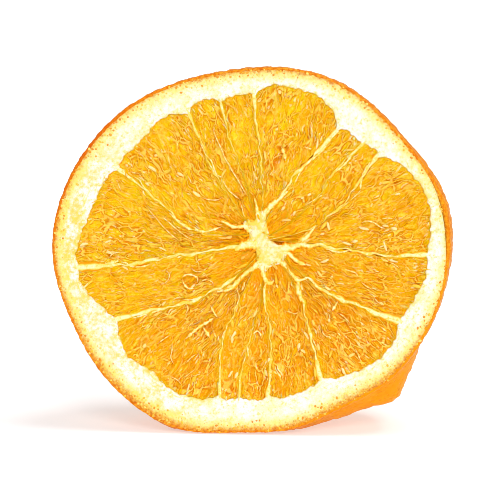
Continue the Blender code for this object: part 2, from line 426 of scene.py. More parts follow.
def peel_material():
    """Waxy orange skin: deeper orange where it is ripe, painted shade in its pores, a band behind
    the cut both brown from drying and painted darker as shade, torn next to it, softly glossy."""
    made, tree, shader = new_material("orange_peel")
    place = own_place(tree)
    mottle = span_of(tree, noise_of(tree, place, 190.0, 4.0, 0.6), 0.3, 0.7)
    patches = span_of(tree, noise_of(tree, place, 45.0, 3.0, 0.5), 0.35, 0.65)
    pore = span_of(tree, cells_of(tree, place, 1 / PORE_SPACING)["Distance"], 0.1, 0.4, 1.0, 0.0)
    ripe = times(tree, value_at(tree, "ripe"), span_of(tree, mottle, 0.0, 1.0, 0.85, 1.05))
    browned = times(tree, value_at(tree, "browned"), span_of(tree, mottle, 0.0, 1.0, 0.25, 0.6))
    torn = span_of(tree, noise_of(tree, place, 1500.0, 3.0, 0.7), 0.4, 0.6)
    scar = times(tree, value_at(tree, "scar"), span_of(tree, mottle, 0.0, 1.0, 1.3, 0.9))
    colour = painted(tree, mix_of(tree, mottle, SKIN_LIGHT, SKIN_DEEP), (
        (times(tree, patches, 0.4), SKIN_PATCH),
        (times(tree, ripe, 0.85), SKIN_RIPE),
        # Painted shade in the pores
        (times(tree, pore, 0.25), SKIN_PORE_SHADE),
        # Painted shade where the skin curves away, with brown from drying
        (browned, SKIN_BROWN_AND_SHADE),
        (value_at(tree, "by_the_cut"), mix_of(tree, torn, TORN_LIGHT, TORN_DEEP)),
        (span_of(tree, scar, 0.25, 0.95, 0.0, 0.75), SCAR_BROWN),
    ))
    grain = times_plus(tree, noise_of(tree, place, 2600.0, 2.0, 0.6), 0.25, times(tree, pore, -1.0))
    fill(tree, shader, (
        ("Base Color", colour),
        ("Roughness", span_of(tree, noise_of(tree, place, 900.0, 2.0, 0.6), 0.3, 0.7, 0.36, 0.5)),
        ("Specular IOR Level", 0.06),
        ("Subsurface Weight", 0.15),
        ("Subsurface Radius", (1.0, 0.35, 0.08)),
        ("Subsurface Scale", 0.0012),
        ("Normal", bump_of(tree, grain, 0.5, 0.00012)),
    ))
    return made


def build_peel():
    """The peel as one closed shell, with the values that its relief and its colours read."""
    angles = 360.0 * np.arange(PEEL_COLUMNS) / PEEL_COLUMNS
    rings, outside = peel_rings(angles)
    front = on_face(np.zeros((1, 2)), np.array([PEEL_BACK]))
    far_end = skin_point(np.array([0.0]), 90.0)
    points = stand(np.vstack([front, *rings, far_end]))
    last = 1 + (len(rings) - 1) * PEEL_COLUMNS
    faces = pole_faces(0, 1, PEEL_COLUMNS, True)
    faces += ring_faces(len(rings), PEEL_COLUMNS, 1)
    faces += pole_faces(len(points) - 1, last, PEEL_COLUMNS, False)
    on_skin = np.array(outside)[:, None]
    back = np.array([ring[:, 2].mean() for ring in rings])[:, None]
    from_scar = np.array([np.linalg.norm(ring[:, :2], axis=1).mean() for ring in rings])[:, None]
    # A band behind the cut: brown from drying, and painted shade where the skin curves away
    browned = np.exp(-(((back - BROWN_SHADE_BACK) / BROWN_SHADE_SPREAD) ** 2)) * (1 - swell(angles, PALE_EDGE_SWELLS))
    smooth = np.clip(swell(angles, RIPE_SWELLS) + swell(angles, SMOOTH_SWELLS), 0, 1)
    torn = np.clip((TORN_BACK - back) / TORN_FADE, 0, 1) * (TORN_MOST - TORN_SMOOTHED * smooth)
    ripe = swell(angles, RIPE_SWELLS) * (1 - np.exp(-((from_scar / RIPE_FADE) ** 2)))

    def shell(values, front_value, far_value):
        everywhere = (values * np.ones((len(rings), PEEL_COLUMNS))).ravel()
        return np.concatenate([[front_value], everywhere, [far_value]])

    return mesh_object("peel", points, faces, {
        "outside": shell(on_skin, 0.0, 1.0),
        "ripe": shell(ripe, 0.0, 0.0),
        "back": shell(back, PEEL_BACK, DEPTH),
        "around": shell(np.radians(angles) * HALF_HEIGHT, 0.0, 0.0),
        "browned": shell(browned, 0.0, 0.0),
        "by_the_cut": shell(torn, 0.0, 0.0),
        "scar": shell(on_skin * np.exp(-((from_scar / SCAR_SPREAD) ** 2)), 0.0, 1.0),
    })


peel = worked(build_peel(), skin_relief(), {
    "Pore Spacing": PORE_SPACING,
    "Pore Depth": PORE_DEPTH,
    "Undulation": SKIN_UNDULATION,
    "Puckers": PUCKERS,
    "Material": peel_material(),
})
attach(peel, "root")
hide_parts("orange_half")

# ---------------------------------------------------------------------------------------------
# The pith: dry, spongy and nearly white, yellower where it thins, with the orange rind of the peel
# as a dotted band along its outer edge. It is a closed ring: its inner edge runs round the outer
# ends of the segments and reaches in a little along each membrane.

WALL = 2.85
WALL_SWELLS = (
    (3, 11, 1.3), (50, 16, 3.9), (75, 5, 0.6), (99, 14, 2.3), (117, 6, 1.7), (136, 16, 3.6),
    (165, 20, 3.6), (207, 13, 3.9), (230, 7, 1.7), (252, 36, 4.0), (294, 19, 2.2), (314, 14, 1.2),
    (339, 13, 2.5),
)
# Each membrane: angle at the wall, angle at the core, bow to the left going outward, twist into
# an S, how far the pith reaches in along it, strength, and where it comes clear of the star
MEMBRANES = (
    (-1.0, 8, -0.5, 0.4, 0.8, 1.0, 0.33),
    (36.9, 20, -3.0, -0.4, 2.0, 0.7, 0.0),
    (44.2, 42, -0.7, -0.6, 0.6, 0.5, 0.0),
    (55.2, 88, 1.1, 0.2, 2.4, 1.2, 0.33),
    (89.5, 99, -0.7, -0.2, 1.7, 0.7, 0.0),
    (102.4, 109, -0.1, -0.3, 0.9, 0.4, 0.2),
    (115.4, 122, 1.2, 0.1, 1.2, 0.6, 0.0),
    (149.5, 141, 3.6, 1.0, 1.5, 0.75, 0.22),
    (186.4, 188, 0.4, -0.2, 0.9, 1.3, 0.08),
    (207.7, 250, 2.5, 0.4, 0.9, 1.2, 0.2),
    (257.6, 258, -2.0, 0.4, 1.4, 0.6, 0.0),
    (265.3, 267, 0.6, 0.7, 0.9, 0.4, 0.0),
    (276.9, 280, 0.4, -0.4, 1.5, 0.7, 0.33),
    (298.9, 320, 1.6, 0.3, 1.6, 0.9, 0.34),
    (334.6, 333, -1.9, -0.2, 1.2, 1.6, 0.42),
)
CORE_U, CORE_V, CORE_RADIUS = 1.9, 1.3, 2.8
MEMBRANE_WAVE, WAVE_TURN, WAVE_STEP = 0.15, 14.0, 2.1
LOBE_CORNER = 3.5
RAGGED_EDGE = ((47, 0.09), (83, 0.08), (127, 0.07), (211, 0.04))

PITH_STEP, PITH_RINGS = 0.19, 42
PITH_BACK, PITH_LIP = 3.2, 0.25
# The pith's inner side as (inset, depth), and its outer side as (inset, depth)
PITH_INNER_SIDE = ((0.06, 1.6), (0.0, 0.8), (0.02, 0.3), (0.1, 0.08), (PITH_LIP, 0.0))
PITH_OUTER_SIDE = ((-0.06, 0.12), (0.4, 1.0), (1.0, PITH_BACK))
BAND_SWELLS = ((235, 40, 0.9), (80, 30, 0.3), (0, 24, -0.5), (150, 30, 0.4), (308, 26, 0.9))
PITH_TO_EDGE, TOP_DEPTH, SIDE_INSET, SIDE_DEPTH = 0.9, 0.2, 0.2, 0.25
YELLOW, YELLOW_INSIDE, YELLOW_REACH = 0.12, 0.6, 0.6
YELLOW_SWELLS = (
    (175, 22, 0.78), (215, 30, 0.38), (240, 14, 0.35), (140, 25, 0.12), (20, 20, 0.1), (285, 30, -0.2),
)
FACE_ROUGHNESS, PITH_GRAIN = 0.00014, 0.0011

PITH_WHITE, PITH_CREAM, PITH_YELLOW = (240, 240, 234), (238, 235, 190), (238, 202, 68)
PITH_SHADE, PITH_SPECK, PITH_STRAND = (216, 214, 96), (206, 200, 110), (238, 220, 92)
RIND_PALE, RIND_STRAY, RIND_OUTER = (248, 222, 104), (206, 156, 40), (214, 104, 12)
RIND_LIGHT, RIND_DEEP = (240, 192, 70), (214, 130, 20)
GLAND_DARK, GLAND_LIGHT = (176, 112, 20), (248, 230, 140)
PITH_SIDE_SHADE = (252, 184, 30)


def membrane(i):
    """The i-th membrane going round. Past the last one they start again, a full turn further on."""
    wall_angle, core_angle, *rest = MEMBRANES[i % len(MEMBRANES)]
    turned = 360.0 * (i // len(MEMBRANES))
    return wall_angle + turned, core_angle + turned, *rest


def lobe_edge(i, s):
    """The outer end of segment i at a share s of its width: the wall's inner edge, with corners
    rounded by pith that reaches in along the membranes."""
    first, last = membrane(i), membrane(i + 1)
    angle = first[0] + (last[0] - first[0]) * s
    radius = rim_radius(angle) - WALL - swell(angle, WALL_SWELLS)
    width = np.radians(last[0] - first[0]) * radius
    corner = np.minimum(LOBE_CORNER, width / 2)
    for notch, away in ((first[4], s * width), (last[4], (1 - s) * width)):
        reach = np.clip(1 - away / corner, 0, 1)
        radius = radius - notch * (1 - np.sqrt(1 - reach**2))
    for teeth, size in RAGGED_EDGE:
        radius = radius + size * np.sin(np.radians(teeth * angle) + teeth)
    return radius[..., None] * turn(angle)


def into_fruit(tree, length):
    """A vector straight into the cut face, of this length."""
    lean = math.radians(LEAN)
    return vector_of(tree, "SCALE", joined(tree, 0.0, math.cos(lean), -math.sin(lean)), length)


def face_relief():
    """A tree that makes the cut pith spongy: small pits and soft lumps, only ever deeper."""
    tree, inputs = new_nodes_group("spongy_pith", ("Roughness", "Grain"))
    place = position(tree)
    grained = vector_of(tree, "SCALE", place, divided(tree, 1.0, inputs["Grain"]))
    lumps = noise_of(tree, grained, 0.45, 3.0, 0.55)
    pits = span_of(tree, noise_of(tree, grained, 1.6, 2.0, 0.6), 0.52, 0.72)
    gland = span_of(tree, cells_of(tree, grained, 1.15)["Distance"], 0.1, 0.36, 1.0, 0.0)
    gland = times(tree, gland, span_of(tree, attribute(tree, "from_rim"), 1.5, 0.9))
    sunk = times_plus(tree, lumps, 0.8, times(tree, pits, 0.55))
    sunk = times_plus(tree, gland, 1.3, sunk)
    sunk = times(tree, sunk, times(tree, inputs["Roughness"], attribute(tree, "top")))
    moved = vector_of(tree, "ADD", place, into_fruit(tree, sunk))
    finish_group(tree, placed_above_floor(tree, inputs["Geometry"], moved), inputs)
    return tree


def new_shader_group(name, inputs, outputs):
    """A shader group with these sockets, each given as (label, kind), and its input sockets."""
    tree = bpy.data.node_groups.new(name, "ShaderNodeTree")
    for in_out, sockets in (("INPUT", inputs), ("OUTPUT", outputs)):
        for label, kind in sockets:
            tree.interface.new_socket(label, in_out=in_out, socket_type="NodeSocket" + kind)
    return tree, tree.nodes.new("NodeGroupInput").outputs


def pith_colours():
    """A shader group for cut pith: near white, mottled, with a yellow tint where it is asked for."""
    tree, inputs = new_shader_group(
        "pith_colours",
        (("Place", "Vector"), ("Yellow", "Float")),
        (("Colour", "Color"), ("Height", "Float")))
    place = inputs["Place"]
    fine = noise_of(tree, place, 1500.0, 3.0, 0.65)
    broad = noise_of(tree, place, 330.0, 3.0, 0.55)
    mottle = span_of(tree, times_plus(tree, fine, 0.5, times(tree, broad, 0.5)), 0.4, 0.62)
    speck = noise_of(tree, place, 2200.0, 2.0, 0.6)
    colour = painted(tree, mix_of(tree, mottle, PITH_WHITE, PITH_CREAM), (
        (times(tree, mottle, inputs["Yellow"]), PITH_YELLOW),
        (span_of(tree, fine, 0.54, 0.66, 0.0, 0.6), PITH_SHADE),
        (span_of(tree, speck, 0.62, 0.7, 0.0, 0.4), PITH_SPECK),
    ))
    node(tree, "NodeGroupOutput", [("Colour", colour), ("Height", fine)])
    return tree


def pith_material(group):
    """Spongy pith with the peel's rind at its outer edge: oil glands in orange flesh. Its inner sides,
    and the core's, get painted warm shade.
    """
    made, tree, shader = new_material("cut_pith")
    place, from_rim, yellow = own_place(tree), value_at(tree, "from_rim"), value_at(tree, "yellow")
    pith = node(tree, "ShaderNodeGroup", node_tree=group)
    fill(tree, pith, (("Place", place), ("Yellow", yellow)))
    ragged = times_plus(tree, noise_of(tree, place, 900.0, 3.0, 0.75), 2.4, from_rim)
    ragged = minus(tree, ragged, value_at(tree, "band"))
    rind = span_of(tree, ragged, 2.5, 1.3)
    pale = span_of(tree, ragged, 4.2, 2.3)
    cells = cells_of(tree, place, 1900.0)
    own = parts_of(tree, cells["Color"])
    gland = span_of(tree, cells["Distance"], 0.2, 0.42, 1.0, 0.0)
    dark_gland = times(tree, gland, span_of(tree, own[0], 0.45, 0.7))
    light_gland = times(tree, gland, span_of(tree, own[1], 0.6, 0.8))
    streaks = span_of(tree, noise_of(tree, place, 1700.0, 3.0, 0.7), 0.35, 0.65)
    orange = painted(tree, mix_of(tree, streaks, RIND_LIGHT, RIND_DEEP), (
        (span_of(tree, from_rim, 1.3, 0.3, 0.0, 0.7), RIND_OUTER),
        (times(tree, dark_gland, 0.6), GLAND_DARK),
        (times(tree, light_gland, 0.5), GLAND_LIGHT),
    ))
    along = joined(tree, divided(tree, value_at(tree, "around"), 2.6), divided(tree, from_rim, 0.5),
                   noise_of(tree, place, 300.0, 2.0, 0.5))
    strands = span_of(tree, noise_of(tree, along, 1.0, 3.0, 0.6), 0.52, 0.68)
    strands = times(tree, strands, span_of(tree, yellow, 0.3, 0.9, 0.35, 1.0))
    colour = painted(tree, pith.outputs["Colour"], (
        (times(tree, strands, 0.7), PITH_STRAND),
        (times(tree, pale, 0.75), RIND_PALE),
        (times(tree, dark_gland, span_of(tree, ragged, 4.0, 2.0, 0.0, 0.6)), RIND_STRAY),
        (rind, orange),
        # Painted warm shade on the steep inner sides of the pith and the core
        (value_at(tree, "side"), PITH_SIDE_SHADE),
    ))
    fill(tree, shader, (
        ("Base Color", colour),
        ("Roughness", 0.62),
        ("Specular IOR Level", 0.3),
        ("Subsurface Weight", 0.3),
        ("Subsurface Radius", (1.0, 0.9, 0.7)),
        ("Subsurface Scale", 0.0003),
        ("Normal", bump_of(tree, pith.outputs["Height"], 0.7, 0.0002)),
    ))
    return made


def pith_columns():
    """The inner edge of the pith all round, evenly spaced, as points on the face."""
    edge = []
    for i in range(len(MEMBRANES)):
        width = math.radians(membrane(i + 1)[0] - membrane(i)[0]) * HALF_HEIGHT
        count = max(8, round(width / PITH_STEP))
        edge.append(lobe_edge(i, np.arange(count) / count))
    return np.concatenate(edge)


def build_pith():
    """The pith ring as one closed body: down its inner side, back out, up and over its face."""
    edge = pith_columns()
    angles = np.degrees(np.arctan2(edge[:, 1], edge[:, 0]))
    inner = np.hypot(edge[:, 0], edge[:, 1])
    rim = rim_radius(angles)
    outer = rim - edge_rounding(angles) * PITH_TO_EDGE
    first = inner + PITH_LIP
    layers = [(first, PITH_BACK, 0.0)]
    layers += [(inner + inset, depth, float(depth < TOP_DEPTH)) for inset, depth in PITH_INNER_SIDE]
    layers += [(first + (outer - first) * k / (PITH_RINGS - 1), 0.0, 1.0) for k in range(1, PITH_RINGS)]
    layers += [(outer - inset, depth, 0.0) for inset, depth in PITH_OUTER_SIDE]
    values = {"top": [], "from_rim": [], "yellow": [], "band": [], "around": [], "side": []}
    rings = []
    for radius, depth, roughened in layers:
        rings.append(on_face(radius[:, None] * turn(angles), depth * np.ones(len(angles))))
        tint = YELLOW + YELLOW_INSIDE * np.exp(-(radius - inner) / YELLOW_REACH)
        values["top"].append(np.full(len(angles), roughened))
        values["from_rim"].append(rim - radius)
        values["yellow"].append(np.clip(tint + swell(angles, YELLOW_SWELLS), 0, 1))
        values["band"].append(swell(angles, BAND_SWELLS))
        values["around"].append(np.radians(angles) * HALF_HEIGHT)
        # How far each point is on the inner side, which gets painted warm shade
        values["side"].append(np.where(radius < inner + SIDE_INSET, min(1.0, depth / SIDE_DEPTH), 0.0))
    attributes = {label: np.concatenate(parts) for label, parts in values.items()}
    faces = ring_faces(len(rings), len(angles), wrapped=True)
    return mesh_object("pith", stand(np.vstack(rings)), faces, attributes)


cut_pith = pith_material(pith_colours())
spongy = face_relief()
pith = worked(build_pith(), spongy, {
    "Roughness": FACE_ROUGHNESS,
    "Grain": PITH_GRAIN,
    "Material": cut_pith,
})
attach(pith, "root")
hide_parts("orange_half")

# ---------------------------------------------------------------------------------------------
# The oil glands: small beads that show in the cut rind, opened by the knife and dried in. Geometry
# Nodes strews them over the outer edge of the pith, thinning out inwards.

BEAD_SPACING, BEAD_SMALLEST, BEAD_LARGEST, BEAD_SUNK = 0.0005, 0.00015, 0.00028, 0.00014
BEAD_REACH, BEAD_FROM_RIM = 3.2, 0.45
BEAD_PALE, BEAD_YELLOW, BEAD_BROWN = (250, 220, 110), (244, 190, 56), (226, 146, 30)


def random_of(tree, low, high, seed):
    """A random number for each point."""
    inputs = [(2, low), (3, high), (8, seed)]
    return node(tree, "FunctionNodeRandomValue", inputs, data_type="FLOAT").outputs[1]


def store(tree, geometry, name, value):
    """The geometry with a value stored under this name at its points."""
    inputs = [("Geometry", geometry), ("Name", name), ("Value", value)]
    return node(tree, "GeometryNodeStoreNamedAttribute", inputs, data_type="FLOAT").outputs[0]


def small_ball(tree, radius):
    """A ball with few faces."""
    inputs = [("Segments", 8), ("Rings", 6), ("Radius", radius)]
    return node(tree, "GeometryNodeMeshUVSphere", inputs).outputs[0]


def strewn_glands():
    """A tree that puts beads on the outer edge of the mesh it is given, and leaves only them."""
    tree, inputs = new_nodes_group("oil_glands", ("Spacing", "Smallest", "Largest", "Reach", "Sunk"))
    from_rim = attribute(tree, "from_rim")
    inward = minus(tree, from_rim, attribute(tree, "band"))
    ragged = times_plus(tree, noise_of(tree, position(tree), 500.0), 1.2, inward)
    chance = span_of(tree, ragged, 0.9, inputs["Reach"], 1.0, 0.0)
    chance = times(tree, chance, math_of(tree, "GREATER_THAN", from_rim, BEAD_FROM_RIM))
    chance = times(tree, chance, attribute(tree, "top"))
    scatter = node(tree, "GeometryNodeDistributePointsOnFaces", [
        ("Mesh", inputs["Geometry"]), ("Distance Min", inputs["Spacing"]), ("Density Max", 6e6),
        ("Density Factor", chance), ("Seed", 4)], distribute_method="POISSON")
    points = store(tree, scatter.outputs["Points"], "own", random_of(tree, 0.0, 1.0, 5))
    sunk = [("Geometry", points), ("Offset", into_fruit(tree, inputs["Sunk"]))]
    points = node(tree, "GeometryNodeSetPosition", sunk).outputs[0]
    size = random_of(tree, inputs["Smallest"], inputs["Largest"], 11)
    longer = times(tree, size, random_of(tree, 0.8, 1.5, 13))
    turned = joined(tree, 0.0, random_of(tree, 0.0, 6.28, 19))
    copies = node(tree, "GeometryNodeInstanceOnPoints", [
        ("Points", points), ("Instance", small_ball(tree, 1.0)), ("Rotation", turned),
        ("Scale", joined(tree, size, size, longer))]).outputs[0]
    real = node(tree, "GeometryNodeRealizeInstances", [(0, copies)]).outputs[0]
    real = placed_above_floor(tree, real, position(tree))
    finish_group(tree, node(tree, "GeometryNodeSetShadeSmooth", [("Geometry", real)]).outputs[0], inputs)
    return tree


def gland_material():
    """Dried oil glands: from pale yellow through orange to brown."""
    made, tree, shader = new_material("oil_gland")
    own = value_at(tree, "own")
    colour = mix_of(tree, span_of(tree, own, 0.0, 0.4), BEAD_PALE, BEAD_YELLOW)
    colour = mix_of(tree, span_of(tree, own, 0.5, 0.8), colour, BEAD_BROWN)
    fill(tree, shader, (("Base Color", colour), ("Roughness", 0.35), ("Specular IOR Level", 0.3)))
    return made


glands = bpy.data.objects.new("oil_glands", pith.data.copy())
bpy.context.scene.collection.objects.link(glands)
worked(glands, strewn_glands(), {
    "Spacing": BEAD_SPACING,
    "Smallest": BEAD_SMALLEST,
    "Largest": BEAD_LARGEST,
    "Reach": BEAD_REACH,
    "Sunk": BEAD_SUNK,
    "Material": gland_material(),
})
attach(glands, "root")
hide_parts("orange_half")

# ---------------------------------------------------------------------------------------------
# The core and the membranes: the same white pith as a star in the middle, and fifteen thin walls
# that run from its arms to the ring, each the skins of two segments with a seam between them. Torn
# seams cross the flesh between them.

# How far from the core's middle the flesh of each segment starts
TIPS = (1.5, 1.5, 1.7, 4.1, 4.7, 4.1, 2.9, 2.4, 1.5, 2.6, 4.4, 5.0, 4.3, 4.7, 4.6)
TIP_NOTCH = 0.5
THIN_MEMBRANE, STRONG_MEMBRANE = 0.07, 0.14
# A wave is (size, pace along the line, shift from each piece to the next)
MEMBRANE_WAVES = ((0.35, 23.0, 2.3), (0.25, 53.0, 5.1))
FLARE, FLARE_REACH, FLARE_LENGTH = 0.35, 2.0, 25.0
LEAST_SHOWN, LOST, LOST_REACH, CLEARING = 0.12, 2.2, 0.4, 0.06
LEAST_SAG, SAG, WEAK_SAG, SAG_WAVE, SAG_PACE = 0.03, 0.05, 0.25, 0.06, 31.0
THINNESS, STRONG_THINNESS, END_THINNESS = 1.25, 0.6, 0.55
WIDEST_FOOT, FOOT_COVERED = 0.36, 0.85
WOBBLES = ((0.14, 1.08, 2.7), (0.11, 2.12, 5.1), (0.05, 3.9, 1.3))
CORE_RINGS, CORE_EVENNESS, CORE_TOP = 40, 0.8, 0.02
CORE_LIP, CORE_LIP_DROP = 0.4, 0.2
CORE_BACK, CORE_YELLOW, CORE_EDGE_YELLOW = 3.0, 0.9, 1.6
# The core's side as (distance outward, depth)
CORE_SIDE = ((0.05, 0.5), (0.16, 1.3), (0.3, CORE_BACK))
CORE_MIDDLE = (2.15, 0.75)
CORE_OUTLINE = (
    (0.93, 6.92), (1.68, 7.38), (2.43, 7.1), (2.62, 5.98), (2.71, 4.49), (3.08, 3.18), (3.55, 2.06),
    (4.21, 1.31), (5.23, 0.93), (6.45, 0.97), (7.1, 0.56), (7.01, 0.0), (6.54, -0.75), (6.17, -1.68),
    (5.79, -2.52), (4.67, -2.71), (3.74, -2.99), (2.99, -3.55), (2.34, -4.3), (1.78, -4.02),
    (1.12, -3.46), (0.47, -3.27), (0.84, -2.06), (0.84, -0.75), (0.56, 0.09), (-0.37, 0.28),
    (-1.21, 0.37), (-1.31, 1.21), (-0.75, 1.96), (-0.56, 2.62), (-0.84, 3.36), (-1.4, 3.93),
    (-1.78, 4.39), (-1.5, 5.33), (-0.75, 5.7), (-0.19, 5.23), (0.47, 5.7),
)
# The arms of the star: points (u, v, half the arm's width)
CORE_ARMS = (
    ((1.87, 5.98, 0.45), (2.24, 6.73, 0.42), (2.99, 7.66, 0.36), (3.74, 8.5, 0.42), (4.49, 9.16, 0.3),
     (5.42, 9.91, 0.22), (6.54, 11.03, 0.14)),
    ((5.23, 0.19, 0.5), (6.54, 0.47, 0.62), (7.66, 0.65, 0.45), (8.79, 1.21, 0.42), (9.53, 1.78, 0.5),
     (10.28, 2.62, 0.3), (11.03, 3.55, 0.2), (11.96, 4.67, 0.1)),
    ((8.97, 1.21, 0.3), (9.91, 1.03, 0.36), (10.84, 0.84, 0.34), (11.78, 1.03, 0.24),
     (12.9, 1.21, 0.22), (14.02, 0.75, 0.12)),
    ((5.98, -0.19, 0.4), (6.92, -0.65, 0.3), (7.66, -1.4, 0.26), (8.79, -2.24, 0.26),
     (9.53, -2.52, 0.24), (10.0, -2.71, 0.14)),
    ((5.05, -1.87, 0.45), (6.07, -2.71, 0.36), (6.82, -3.74, 0.3), (7.76, -4.86, 0.28),
     (8.6, -5.79, 0.3), (8.6, -6.73, 0.3), (8.79, -7.76, 0.4), (9.07, -8.41, 0.3), (9.16, -9.53, 0.15)),
    ((8.22, -5.61, 0.22), (9.35, -5.51, 0.18), (10.47, -5.05, 0.22), (11.12, -5.51, 0.24),
     (11.96, -6.54, 0.24), (13.08, -7.29, 0.2), (14.39, -7.85, 0.2)),
    ((1.87, -2.99, 0.4), (2.06, -4.3, 0.34), (2.43, -5.33, 0.3), (2.9, -6.07, 0.3),
     (3.55, -6.17, 0.24), (4.11, -5.7, 0.12)),
    ((2.62, -6.17, 0.14), (2.34, -7.29, 0.2), (2.34, -8.6, 0.2), (2.43, -10.09, 0.16),
     (2.62, -11.59, 0.1)),
    ((1.31, -2.43, 0.45), (0.28, -3.36, 0.36), (-0.84, -4.11, 0.3), (-2.06, -5.23, 0.26),
     (-2.99, -6.26, 0.3), (-4.11, -7.38, 0.22), (-5.23, -7.76, 0.14)),
    ((0.93, 0.93, 0.6), (-0.37, 1.12, 0.62), (-1.5, 0.84, 0.55), (-2.43, 0.47, 0.42),
     (-3.27, 0.09, 0.3)),
    ((-0.37, 3.55, 0.5), (-1.31, 4.39, 0.36), (-2.43, 4.3, 0.22), (-3.64, 4.3, 0.24),
     (-4.67, 4.86, 0.2), (-5.79, 5.33, 0.12)),
    ((1.31, 5.98, 0.5), (0.93, 7.1, 0.3), (0.75, 8.22, 0.18), (0.37, 9.72, 0.12)),
)
ARM_WAVES = ((0.25, 5.1, 2.1), (0.15, 11.3, 1.0))
ARM_WIDTH, ARM_RISE, ARM_RISE_WAVES = 1.5, 0.09, ((0.05, 2.9, 1.7),)
